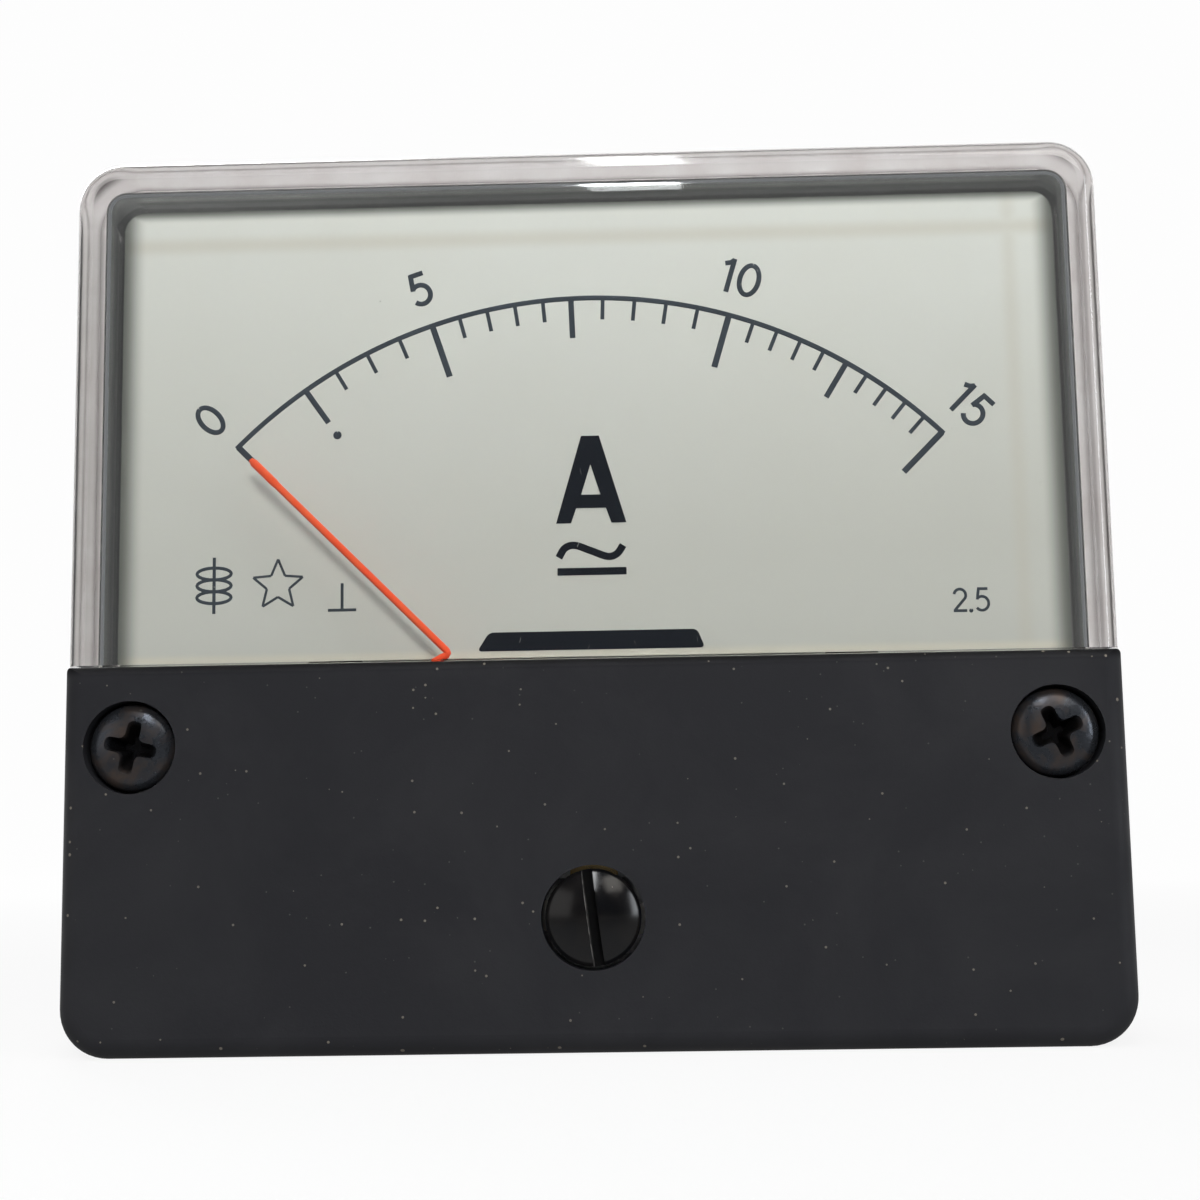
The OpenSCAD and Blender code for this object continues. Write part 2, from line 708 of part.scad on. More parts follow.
module zero_adjuster() color("#151517") {
    top_y = mask_y - adjuster_dome;
    difference() {
        domed_head(0, adjuster_z, adjuster_head_d / 2, top_y, apron_y, adjuster_dome + 0.35);
        translate([0, top_y, adjuster_z]) rotate([0, adjuster_slot_angle, 0])
            translate([-adjuster_slot_w / 2, -past, -adjuster_head_d])
                cube([adjuster_slot_w, past + 1.1, 2 * adjuster_head_d]);
    }
    difference() {
        bar(0, adjuster_z, adjuster_shank_r, apron_y, adjuster_shank_y);
        difference() {
            bar(0, adjuster_z, adjuster_shank_r + past, inner_y, inner_y + clip_t);
            bar(0, adjuster_z, adjuster_groove_r, inner_y - past, inner_y + clip_t + past);
        }
    }
    bar(0, adjuster_z + adjuster_throw, adjuster_pin_r, adjuster_shank_y, lever_y + lever_t + 0.3);
}

module adjuster_clip() color("#a9abae") slab(inner_y, inner_y + clip_t) difference() {
    translate([0, adjuster_z]) circle(adjuster_shank_r + 1.1);
    translate([0, adjuster_z]) circle(adjuster_groove_r);
    translate([-adjuster_groove_r * 0.8, adjuster_z - 2 * adjuster_shank_r])
        square([adjuster_groove_r * 1.6, 2 * adjuster_shank_r]);
}

module zero_lever() color("#c8b070") {
    slot_w = adjuster_pin_d + 2 * fork_gap;
    slot_top = adjuster_drop - adjuster_throw - adjuster_pin_r - 0.5;
    fork_foot = adjuster_drop + adjuster_pin_r;
    ring_r = lever_boss_r + lever_ring_w;
    translate([0, 0, pivot_z]) slab(lever_y, lever_y + lever_t) difference() {
        union() {
            circle(ring_r);
            translate([-slot_w / 2 - fork_prong_w, -fork_foot])
                square([slot_w + 2 * fork_prong_w, fork_foot]);
            translate([0, -0.2]) square([hairspring_end + spring_peg / 2, spring_peg + 0.4]);
        }
        circle(lever_boss_r + lever_fit);
        translate([-slot_w / 2, -fork_foot - past]) square([slot_w, fork_foot - slot_top + past]);
    }
    translate([0, 0, pivot_z]) slab(lever_y + lever_t / 2, ribbon_y + ribbon_h)
        translate([hairspring_end - spring_peg / 2, 0]) square(spring_peg);
}

// A spiral of half rings: the upper ones turn about the spindle, the lower ones one step aside
module hairspring() color("#b5a06a")
    translate([0, 0, pivot_z]) slab(ribbon_y, ribbon_y + ribbon_h)
        for (half = [0:2 * hairspring_turns - 1]) {
            r = collet_r + ribbon_t / 2 + half * ribbon_step;
            low = half % 2;
            translate([low * ribbon_step, 0]) intersection() {
                difference() {
                    circle(r + ribbon_t / 2, $fn = 96);
                    circle(r - ribbon_t / 2, $fn = 96);
                }
                translate([-2 * r, low ? -2 * r : 0]) square([4 * r, 2 * r]);
            }
        }

// ---------- Moving system ----------

// The blade's foot lies on the balance cross, and a crank lifts its arm to the reading plane
module pointer() color("#f2502f") on_spindle() difference() {
    union() {
        slab(pointer_foot_y, cross_y) circle(hub_r);
        intersection() {
            slab(pointer_y - past, cross_y) polygon([
                [-pointer_foot_w / 2, 0], [pointer_foot_w / 2, 0],
                [pointer_tip_w / 2, pointer_len - 1], [0.08, pointer_len],
                [-0.08, pointer_len], [-pointer_tip_w / 2, pointer_len - 1]
            ]);
            translate([-past, 0, 0]) rotate([90, 0, 90]) linear_extrude(2 * past) polygon([
                [pointer_foot_y, 0], [pointer_foot_y, crank_start],
                [pointer_y - pointer_t / 2, crank_end], [pointer_y - pointer_t / 2, pointer_len],
                [pointer_y + pointer_t / 2, pointer_len], [pointer_y + pointer_t / 2, crank_end + 0.1],
                [cross_y, crank_start + 0.1], [cross_y, 0]
            ]);
        }
    }
    slab(pointer_y - past, cross_y + past) circle(spindle_r);
}

module balance_cross() color("#c9b26a") on_spindle() slab(cross_y, cross_y + cross_t) difference() {
    union() {
        circle(hub_r);
        translate([-cross_arm_w / 2, -tail_arm]) square([cross_arm_w, tail_arm]);
        translate([-side_arm, -cross_arm_w / 2]) square([2 * side_arm, cross_arm_w]);
    }
    circle(spindle_r);
}

// A short sleeve that slides along an arm of the cross
module balance_weight(angle, at) rotate([0, angle, 0]) translate([0, cross_y + cross_t / 2, at])
    difference() {
        cylinder(h = weight_len, r = weight_r, center = true);
        cube([cross_arm_w, cross_t, 2 * weight_len], center = true);
    }

module balance_weights() color("#b8bcc0") on_spindle() {
    balance_weight(180, tail_weight_at);
    balance_weight(90, side_weight_at);
    balance_weight(-90, side_weight_at);
}

module spindle() color("#aeb2b6") turned(0, pivot_z) polygon([
    [0, spindle_front_y], [pivot_r, spindle_front_y + 0.35],
    [pivot_r, spindle_front_y + 0.5], [spindle_r, spindle_front_y + 0.65],
    [spindle_r, spindle_rear_y - 0.65], [pivot_r, spindle_rear_y - 0.5],
    [pivot_r, spindle_rear_y - 0.35], [0, spindle_rear_y]
]);

module hairspring_collet() color("#c9a24a") difference() {
    bar(0, pivot_z, collet_r, ribbon_y, pointer_foot_y);
    bar(0, pivot_z, spindle_r, ribbon_y - past, pointer_foot_y + past);
}

// A light flag whose edges are folded over, on a sleeve round the spindle
module damping_vane() color("#cfd3d6") on_spindle() {
    flag_front_y = plate_back_y + vane_gap;
    flag_back_y = chamber_back_y - chamber_wall - vane_gap;
    arm_y = flag_front_y + 0.4;
    difference() {
        bar(0, 0, sleeve_r, arm_y - 0.3, arm_y + vane_arm_h + 0.3);
        bar(0, 0, spindle_r, arm_y - past, arm_y + vane_arm_h + past);
    }
    translate([-vane_t / 2, arm_y, sleeve_r - 0.05])
        cube([vane_t, vane_arm_h, vane_root_r - sleeve_r + 0.1]);
    translate([-vane_t / 2, flag_front_y, vane_root_r])
        cube([vane_t, flag_back_y - flag_front_y, vane_tip_r - vane_root_r]);
    translate([-vane_t / 2, flag_front_y, vane_tip_r - vane_t])
        cube([0.9, flag_back_y - flag_front_y, vane_t]);
    for (y = [flag_front_y, flag_back_y - vane_t])
        translate([-vane_t / 2, y, vane_root_r]) cube([0.9, vane_t, vane_tip_r - vane_root_r]);
}

// A curved iron flag opposite the pointer, on a sleeve round the spindle
module moving_vane() color("#8d9196") on_spindle() {
    front_y = winding_y + iron_inset;
    back_y = bobbin_back_y - bobbin_flange_t - iron_inset;
    slab(front_y, back_y) difference() {
        union() {
            rotate(180) sector(moving_iron_r - iron_t, moving_iron_r, moving_iron_angle / 2);
            translate([-iron_t / 2, 0.1 - moving_iron_r]) square([iron_t, moving_iron_r]);
            circle(sleeve_r);
        }
        circle(spindle_r);
    }
}

// A curved iron tongue against the bobbin's bore, narrower towards its far end
module fixed_vane() color("#7f8388") {
    front_y = winding_y + iron_inset;
    back_y = bobbin_back_y - bobbin_flange_t - iron_inset;
    translate([0, 0, pivot_z]) difference() {
        slab(front_y, back_y) rotate(125)
            sector(bobbin_bore_r - iron_t, bobbin_bore_r, fixed_iron_angle / 2);
        translate([0, 0, -bobbin_bore_r - past]) linear_extrude(2 * (bobbin_bore_r + past)) polygon([
            [-bobbin_bore_r - past, back_y - 1], [bobbin_bore_r * 0.6, front_y + 4],
            [bobbin_bore_r * 0.6, back_y + past], [-bobbin_bore_r - past, back_y + past]
        ]);
    }
}

// ---------- Fixed movement ----------

module movement_plate() color("#bcbfc2") slab(plate_y, plate_back_y) difference() {
    union() {
        translate([0, pivot_z]) intersection() {
            circle(chamber_r);
            translate([-chamber_r, -plate_drop]) square([2 * chamber_r, 2 * chamber_r]);
        }
        square([2 * plate_boss_x, 2 * plate_ear_r], center = true);
        for (s = SIDES) translate([s * plate_boss_x, 0]) circle(plate_ear_r);
    }
    translate([0, pivot_z]) circle(sleeve_r + 0.8);
    for (s = SIDES) {
        translate([s * plate_boss_x, 0]) circle(plate_screw_d / 2 + 0.15);
        translate([s * bridge_screw_x, pivot_z]) circle(bridge_screw_d / 2);
        translate([0, pivot_z]) rotate(-s * stop_angle) translate([0, stop_reach])
            circle(stop_pin_r);
    }
}

module plate_screw(s) color("#b9bbbd")
    slotted_screw(s * plate_boss_x, 0, plate_screw_d, plate_y, plate_back_y + plate_thread_len);

module pointer_stop(s) color("#c2c4c6") translate([0, 0, pivot_z]) rotate([0, s * stop_angle, 0])
    bar(0, stop_reach, stop_pin_r, stop_front_y, plate_back_y);

module damping_chamber() color("#2f3134") translate([0, 0, pivot_z]) {
    floor_front_y = chamber_back_y - chamber_wall;
    slab(floor_front_y, chamber_back_y) difference() {
        union() {
            sector(0, chamber_r, chamber_half_angle);
            circle(bobbin_bore_r + 2.5);
        }
        circle(chamber_hole_r);
    }
    slab(plate_back_y, floor_front_y) difference() {
        sector(chamber_inner_r + chamber_wall / 2, chamber_r, chamber_half_angle);
        intersection() {
            translate([0, chamber_wall / sin(chamber_half_angle)]) wedge(2 * chamber_r, chamber_half_angle);
            circle(chamber_r - chamber_wall);
        }
    }
    slab(plate_back_y + vane_gap + vane_arm_h + 0.9, floor_front_y)
        sector(chamber_inner_r, chamber_inner_r + chamber_wall, chamber_half_angle - 2);
}

// A strip folded twice each side: foot, leg, bar, leg, foot, as seen from above
module folded_bridge(leg_x, foot_y, top_y, t) {
    out = foot_y > top_y ? 1 : -1;
    translate([0, 0, pivot_z - bridge_w / 2]) linear_extrude(bridge_w) polygon([
        [-bridge_foot_x, foot_y], [-bridge_foot_x, foot_y - out * t],
        [-leg_x - t, foot_y - out * t], [-leg_x - t, top_y],
        [leg_x + t, top_y], [leg_x + t, foot_y - out * t],
        [bridge_foot_x, foot_y - out * t], [bridge_foot_x, foot_y],
        [leg_x, foot_y], [leg_x, top_y + out * t],
        [-leg_x, top_y + out * t], [-leg_x, foot_y]
    ]);
}

module front_bridge() color("#c8b070") difference() {
    union() {
        folded_bridge(front_leg_x, plate_y, front_bridge_y, front_sheet_t);
        bar(0, pivot_z, lever_boss_r, front_bridge_back_y - 0.1, lever_boss_back_y);
    }
    bar(0, pivot_z, jewel_screw_d / 2, front_bridge_y - past, lever_boss_back_y + past);
    for (s = SIDES)
        bar(s * bridge_screw_x, pivot_z, bridge_screw_d / 2, plate_y - 2 * front_sheet_t, plate_y + past);
}

module rear_bridge() color("#c8b070") difference() {
    folded_bridge(rear_leg_x, plate_back_y, rear_bridge_back_y, rear_sheet_t);
    bar(0, pivot_z, jewel_screw_d / 2, bobbin_back_y - past, rear_bridge_back_y + past);
    for (s = SIDES)
        bar(s * bridge_screw_x, pivot_z, bridge_screw_d / 2, plate_back_y - past, plate_back_y + 3);
}

// A threaded rod with a jewel cup in the end that faces the spindle and a slot in the other
module jewel_screw(cup_y, slot_y) color("#c9a24a") {
    way = cup_y > slot_y ? 1 : -1;
    difference() {
        bar(0, pivot_z, jewel_screw_d / 2, min(cup_y, slot_y), max(cup_y, slot_y));
        turned(0, pivot_z) polygon([
            [0, cup_y - way * jewel_cup_h], [jewel_cup_r, cup_y],
            [jewel_cup_r, cup_y + way * past], [0, cup_y + way * past]
        ]);
        translate([0, slot_y, pivot_z]) cube([2 * jewel_screw_d, 1, 0.4], center = true);
    }
}

module front_jewel_screw() jewel_screw(front_jewel_y, front_bridge_y - jewel_nut_t - 0.3);

module rear_jewel_screw() jewel_screw(rear_jewel_y, rear_bridge_back_y + jewel_nut_t + 0.6);

module jewel_nut(y0) color("#c9a24a") difference() {
    hex_bar(0, pivot_z, jewel_nut_flats, y0, y0 + jewel_nut_t);
    bar(0, pivot_z, jewel_screw_d / 2, y0 - past, y0 + jewel_nut_t + past);
}

module bridge_screw(s) color("#b9bbbd") slotted_screw(
    s * bridge_screw_x, pivot_z, bridge_screw_d, plate_y - front_sheet_t, plate_back_y + rear_sheet_t + 0.6
);

// ---------- Coil ----------

module coil_bobbin() color("#e3ddc8") turned(0, pivot_z) {
    translate([bobbin_bore_r, chamber_back_y])
        square([bobbin_tube_t, bobbin_back_y - chamber_back_y]);
    for (y = [chamber_back_y, bobbin_back_y - bobbin_flange_t])
        translate([bobbin_bore_r, y]) square([bobbin_flange_r - bobbin_bore_r, bobbin_flange_t]);
}

// Two layers of round wire, side by side
module coil_winding() color("#a8602f") turned(0, pivot_z) {
    translate([winding_r, winding_y]) square([layer_r - winding_r, winding_len]);
    for (turn = [0:turns - 1])
        translate([layer_r, winding_y + (turn + 0.5) * wire_d]) circle(0.49 * wire_d);
}

module wire(h) cylinder(h = h, r = wire_d / 2);

module wire_bend() rotate_extrude(angle = 90) translate([bend_r, 0]) circle(wire_d / 2);

// The wire leaves the winding's side upwards, bends outwards and back, and ends on the tag's face
module coil_lead(s, y) color("#a8602f") mirror([s == LEFT ? 1 : 0, 0, 0]) {
    difference() {
        translate([lead_x, y, pivot_z]) wire(bend_z - bend_r - pivot_z);
        bar(0, pivot_z, winding_outer_r + 0.05, winding_y - past, bobbin_back_y);
    }
    translate([lead_x + bend_r, y, bend_z - bend_r]) rotate([90, 0, 180]) wire_bend();
    translate([lead_x + bend_r, y, bend_z]) rotate([0, 90, 0]) wire(terminal_x - lead_x - 2 * bend_r);
    translate([terminal_x - bend_r, y + bend_r, bend_z]) rotate([0, 0, -90]) wire_bend();
    translate([terminal_x, y + bend_r, bend_z]) rotate([-90, 0, 0]) wire(lead_end_y - y - 2 * bend_r);
    translate([terminal_x, lead_end_y - bend_r, bend_z + bend_r]) rotate([0, 90, 0]) wire_bend();
    translate([terminal_x, lead_end_y, bend_z + bend_r]) wire(lead_end_z - bend_z - bend_r);
}

// ---------- Nodes ----------

base();
clear_cover();
black_cover();
cover_screw(LEFT);  // cover_screw_left
cover_screw(RIGHT);  // cover_screw_right
cover_insert(LEFT);  // cover_insert_left
cover_insert(RIGHT);  // cover_insert_right
mounting_stud(LEFT, 1);  // stud_top_left
mounting_stud(RIGHT, 1);  // stud_top_right
mounting_stud(LEFT, -1);  // stud_bottom_left
mounting_stud(RIGHT, -1);  // stud_bottom_right
terminal_bolt(LEFT);  // terminal_bolt_left
terminal_bolt(RIGHT);  // terminal_bolt_right
solder_tag(LEFT);  // solder_tag_left
solder_tag(RIGHT);  // solder_tag_right
inner_washer(LEFT);  // inner_washer_left
inner_washer(RIGHT);  // inner_washer_right
terminal_nut(LEFT, lock_nut_y, lock_nut_t);  // lock_nut_left
terminal_nut(RIGHT, lock_nut_y, lock_nut_t);  // lock_nut_right
outer_washer(LEFT);  // outer_washer_left
outer_washer(RIGHT);  // outer_washer_right
spring_washer(LEFT);  // spring_washer_left
spring_washer(RIGHT);  // spring_washer_right
terminal_nut(LEFT, cable_nut_y, cable_nut_t);  // cable_nut_left
terminal_nut(RIGHT, cable_nut_y, cable_nut_t);  // cable_nut_right
dial_plate();
dial_screw(LEFT);  // dial_screw_left
dial_screw(RIGHT);  // dial_screw_right
zero_adjuster();
adjuster_clip();
zero_lever();
hairspring();
pointer();
balance_cross();
balance_weights();
spindle();
hairspring_collet();
damping_vane();
moving_vane();
fixed_vane();
movement_plate();
plate_screw(LEFT);  // plate_screw_left
plate_screw(RIGHT);  // plate_screw_right
pointer_stop(LEFT);  // pointer_stop_left
pointer_stop(RIGHT);  // pointer_stop_right
damping_chamber();
front_bridge();
front_jewel_screw();
jewel_nut(front_bridge_y - jewel_nut_t);  // front_jewel_nut
rear_bridge();
rear_jewel_screw();
jewel_nut(rear_bridge_back_y);  // rear_jewel_nut
bridge_screw(LEFT);  // bridge_screw_left
bridge_screw(RIGHT);  // bridge_screw_right
coil_bobbin();
coil_winding();
coil_lead(LEFT, winding_y + winding_len - wire_d / 2);  // coil_lead_left
coil_lead(RIGHT, winding_y + wire_d / 2);  // coil_lead_right
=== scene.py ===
"""Looks of the analog panel meter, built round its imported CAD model.

Lengths are in metres, and MM turns millimetres into them. The dial's print and the patterns of the finishes
are laid out in millimetres.
"""

import json
import math

import bmesh
import bpy
from mathutils import Matrix, Vector


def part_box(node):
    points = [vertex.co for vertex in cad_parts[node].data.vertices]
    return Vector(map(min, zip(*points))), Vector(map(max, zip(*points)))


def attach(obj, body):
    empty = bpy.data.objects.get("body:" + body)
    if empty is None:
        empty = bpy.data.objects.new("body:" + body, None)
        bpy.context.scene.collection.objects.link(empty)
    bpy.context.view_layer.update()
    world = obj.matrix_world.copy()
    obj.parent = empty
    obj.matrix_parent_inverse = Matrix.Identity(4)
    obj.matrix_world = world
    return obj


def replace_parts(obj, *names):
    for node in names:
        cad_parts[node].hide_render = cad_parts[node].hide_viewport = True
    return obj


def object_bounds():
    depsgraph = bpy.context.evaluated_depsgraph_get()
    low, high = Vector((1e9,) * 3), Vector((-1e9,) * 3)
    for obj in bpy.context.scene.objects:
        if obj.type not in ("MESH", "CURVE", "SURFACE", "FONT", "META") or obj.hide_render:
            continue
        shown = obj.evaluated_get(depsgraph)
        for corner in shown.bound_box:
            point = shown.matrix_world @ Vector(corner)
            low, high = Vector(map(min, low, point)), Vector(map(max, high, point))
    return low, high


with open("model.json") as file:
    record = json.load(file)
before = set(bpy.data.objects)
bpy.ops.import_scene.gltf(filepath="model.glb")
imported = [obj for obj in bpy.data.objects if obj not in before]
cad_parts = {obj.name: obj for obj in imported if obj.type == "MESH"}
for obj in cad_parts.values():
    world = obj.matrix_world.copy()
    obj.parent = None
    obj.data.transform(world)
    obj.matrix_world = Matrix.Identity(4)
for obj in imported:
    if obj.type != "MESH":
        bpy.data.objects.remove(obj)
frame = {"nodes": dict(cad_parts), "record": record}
cad_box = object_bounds()

MM = 0.001

# ---------- Sizes that several pieces share ----------

DIAL_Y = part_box("dial_plate")[0].y
PIVOT = Vector((0, 0, sum(c.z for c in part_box("spindle")) / 2))
STUD_NODES = ("stud_top_left", "stud_top_right", "stud_bottom_left", "stud_bottom_right")

# Threads, each as its radius, pitch and depth
M3_THREAD = (1.5 * MM, 0.5 * MM, 0.31 * MM)
M5_THREAD = (2.5 * MM, 0.8 * MM, 0.48 * MM)

# The adjuster's driver slot: its width in millimetres, and its turn from upright in degrees
SLOT_W = 0.65
SLOT_ANGLE = -7


# ---------- Shader trees ----------

def add_node(tree, kind, inputs=None, **settings):
    """Adds a shader node. inputs maps a socket's name or number to a value or to another node's output."""
    node = tree.nodes.new(kind)
    for key, value in settings.items():
        setattr(node, key, value)
    for key, value in (inputs or {}).items():
        if isinstance(value, bpy.types.NodeSocket):
            tree.links.new(value, node.inputs[key])
        else:
            node.inputs[key].default_value = value
    return node


def maths(tree, operation, a, b=0.0, clamp=False):
    return add_node(tree, "ShaderNodeMath", {0: a, 1: b}, operation=operation, use_clamp=clamp).outputs[0]


def apart(tree, a, b):
    """The distance between two values."""
    return maths(tree, "ABSOLUTE", maths(tree, "SUBTRACT", a, b))


def squares(tree, a, b):
    """The sum of the squares of two values."""
    return maths(tree, "ADD", maths(tree, "MULTIPLY", a, a), maths(tree, "MULTIPLY", b, b))


def ramp(tree, value, low, high, out_low=0.0, out_high=1.0):
    """Goes from out_low to out_high while value goes from low to high."""
    ends = {0: value, 1: low, 2: high, 3: out_low, 4: out_high}
    return add_node(tree, "ShaderNodeMapRange", ends).outputs[0]


def near_edge(tree, distance, reach):
    """1 at an edge, falling softly to 0 at a distance of reach inside it."""
    ends = {0: distance, 1: 0.0, 2: reach, 3: 1.0, 4: 0.0}
    return add_node(tree, "ShaderNodeMapRange", ends, interpolation_type="SMOOTHSTEP").outputs[0]


def blend(tree, factor, a, b):
    """Colour a where factor is 0, and b where it is 1."""
    return add_node(tree, "ShaderNodeMix", {0: factor, 6: a, 7: b}, data_type="RGBA").outputs[2]


def tint(tree, body, mask, share, colour):
    """Lays a colour over the body where the mask is 1, as strongly as share says."""
    return blend(tree, maths(tree, "MULTIPLY", mask, share), body, colour)


def grey(value):
    return (value, value, value, 1)


def object_mm(tree, scale=(1, 1, 1)):
    """Object coordinates in millimetres."""
    where = add_node(tree, "ShaderNodeTexCoord").outputs["Object"]
    return add_node(tree, "ShaderNodeMapping", {"Vector": where, "Scale": [s / MM for s in scale]}).outputs[0]


def axes(tree, where):
    """The X, Y and Z of a place, each as a value."""
    return tuple(add_node(tree, "ShaderNodeSeparateXYZ", {0: where}).outputs)


# ---------- Effects that several finishes share ----------

def effect(name, result, **inputs):
    """An empty node group that takes a place and some values and gives one value."""
    tree = bpy.data.node_groups.new(name, "ShaderNodeTree")
    tree.interface.new_socket("Vector", in_out="INPUT", socket_type="NodeSocketVector")
    for label, value in inputs.items():
        tree.interface.new_socket(label, in_out="INPUT", socket_type="NodeSocketFloat").default_value = value
    tree.interface.new_socket(result, in_out="OUTPUT", socket_type="NodeSocketFloat")
    return tree, tree.nodes.new("NodeGroupInput").outputs, tree.nodes.new("NodeGroupOutput").inputs[result]


def speck_effect():
    """Sparse round specks. Spacing is the mesh of the grid in mm, Share how many of its cells hold one."""
    tree, given, mask = effect("specks", "Mask", Spacing=2.0, Size=0.06, Share=0.4)
    spacing = add_node(tree, "ShaderNodeCombineXYZ", {i: given["Spacing"] for i in range(3)}).outputs[0]
    where = add_node(tree, "ShaderNodeVectorMath", {0: given["Vector"], 1: spacing}, operation="DIVIDE")
    cells = add_node(tree, "ShaderNodeTexVoronoi", {"Vector": where.outputs[0], "Scale": 1.0})
    draw = add_node(tree, "ShaderNodeSeparateColor", {0: cells.outputs["Color"]})
    size = maths(tree, "DIVIDE", given["Size"], given["Spacing"])
    size = maths(tree, "MULTIPLY", size, maths(tree, "ADD", draw.outputs[1], 0.35))
    near = maths(tree, "LESS_THAN", cells.outputs["Distance"], size)
    held = maths(tree, "LESS_THAN", draw.outputs[0], given["Share"])
    tree.links.new(maths(tree, "MULTIPLY", near, held), mask)
    return tree


def hairline_effect():
    """Fine hairlines: thin crests of a stretched, bent noise."""
    tree, given, mask = effect("hairlines", "Mask", Scale=0.5, Width=0.01, Share=0.5)
    place = given["Vector"]
    line = add_node(tree, "ShaderNodeTexNoise", {"Vector": place, "Scale": given["Scale"], "Detail": 1.0})
    thin = maths(tree, "LESS_THAN", apart(tree, line.outputs[0], 0.5), given["Width"])
    where = add_node(tree, "ShaderNodeTexNoise", {"Vector": place, "Scale": 1.7, "Detail": 2.0})
    held = maths(tree, "GREATER_THAN", where.outputs[0], given["Share"])
    tree.links.new(maths(tree, "MULTIPLY", thin, held), mask)
    return tree


def smudge_effect():
    """Soft cloudy patches, such as handling marks and uneven tarnish."""
    tree, given, mask = effect("smudges", "Mask", Scale=0.12, Low=0.4, High=0.65)
    cloud = add_node(tree, "ShaderNodeTexNoise", {
        "Vector": given["Vector"], "Scale": given["Scale"], "Detail": 5.0,
        "Roughness": 0.6, "Distortion": 0.4,
    })
    tree.links.new(ramp(tree, cloud.outputs[0], given["Low"], given["High"]), mask)
    return tree


def grain_effect():
    """The fine relief of a moulding tool's finish, as a height."""
    tree, given, height = effect("grain", "Height", Scale=8.0)
    place, scale = given["Vector"], given["Scale"]
    broad_scale = maths(tree, "MULTIPLY", scale, 0.22)
    fine = add_node(tree, "ShaderNodeTexNoise", {"Vector": place, "Scale": scale, "Detail": 4.0})
    broad = add_node(tree, "ShaderNodeTexNoise", {"Vector": place, "Scale": broad_scale, "Detail": 2.0})
    mixed = maths(tree, "ADD", fine.outputs[0], maths(tree, "MULTIPLY", broad.outputs[0], 0.6))
    tree.links.new(mixed, height)
    return tree


SPECKS = speck_effect()
HAIRLINES = hairline_effect()
SMUDGES = smudge_effect()
GRAIN = grain_effect()


def use_effect(tree, group, where, **values):
    """Lays an effect out at where, with its own values."""
    return add_node(tree, "ShaderNodeGroup", {"Vector": where, **values}, node_tree=group).outputs[0]


# ---------- Finishes ----------

def new_finish(name, **shader):
    """A material with one Principled shader, whose constants are set on its own sockets."""
    material = bpy.data.materials.new(name)
    material.use_nodes = True
    tree = material.node_tree
    surface = tree.nodes["Principled BSDF"]
    for key, value in shader.items():
        surface.inputs[key.replace("_", " ")].default_value = value
    return material, tree, surface


def paint(tree, surface, body, rough=None):
    """Joins a colour to the surface, and a roughness where it isn't the same all over."""
    tree.links.new(body, surface.inputs["Base Color"])
    if rough is not None:
        tree.links.new(rough, surface.inputs["Roughness"])


def press_grain(tree, surface, where, scale, depth, strength):
    """Presses the fine grain into the surface, to a depth in millimetres."""
    grain = use_effect(tree, GRAIN, where, Scale=scale)
    relief = add_node(tree, "ShaderNodeBump", {"Height": grain, "Distance": depth * MM, "Strength": strength})
    tree.links.new(relief.outputs[0], surface.inputs["Normal"])


def black_cover_finish():
    """Matt moulded black with light dust. Its rounded top lip keeps dark, in the window's shade."""
    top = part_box("black_cover")[1].z / MM
    material, tree, surface = new_finish("black_cover_matt", Specular_IOR_Level=0.36)
    where = object_mm(tree)
    smudge = use_effect(tree, SMUDGES, where, Scale=0.09, Low=0.42, High=0.7)
    body = blend(tree, smudge, (0.0158, 0.0162, 0.0195, 1), (0.0222, 0.0226, 0.026, 1))
    # Painted shade: the rounded top lip is darkened, as if in the window's shade
    lip = near_edge(tree, maths(tree, "SUBTRACT", top, axes(tree, where)[2]), 0.75)
    body = tint(tree, body, lip, 0.9, (0.0035, 0.0032, 0.0035, 1))
    dust = use_effect(tree, SPECKS, where, Spacing=0.75, Size=0.115, Share=0.2)
    fine_dust = use_effect(tree, SPECKS, where, Spacing=0.5, Size=0.04, Share=0.25)
    body = tint(tree, body, fine_dust, 0.5, (0.12, 0.115, 0.105, 1))
    body = tint(tree, body, dust, 0.75, (0.24, 0.215, 0.18, 1))
    rough = maths(tree, "ADD", ramp(tree, smudge, 0, 1, 0.6, 0.47), maths(tree, "MULTIPLY", lip, 0.35))
    paint(tree, surface, body, rough)
    press_grain(tree, surface, where, 7.0, 0.012, 0.6)
    return material


def phenolic_finish():
    """Dark phenolic with the faint swirls and flecks of its filler."""
    material, tree, surface = new_finish("phenolic_moulding")
    where = object_mm(tree)
    swirl = use_effect(tree, SMUDGES, where, Scale=0.25, Low=0.35, High=0.65)
    body = blend(tree, swirl, (0.0095, 0.009, 0.0088, 1), (0.017, 0.0155, 0.0145, 1))
    filler = use_effect(tree, SPECKS, where, Spacing=0.7, Size=0.12, Share=0.35)
    body = tint(tree, body, filler, 0.25, (0.05, 0.042, 0.034, 1))
    paint(tree, surface, body, ramp(tree, swirl, 0, 1, 0.34, 0.48))
    press_grain(tree, surface, where, 3.0, 0.01, 0.5)
    return material


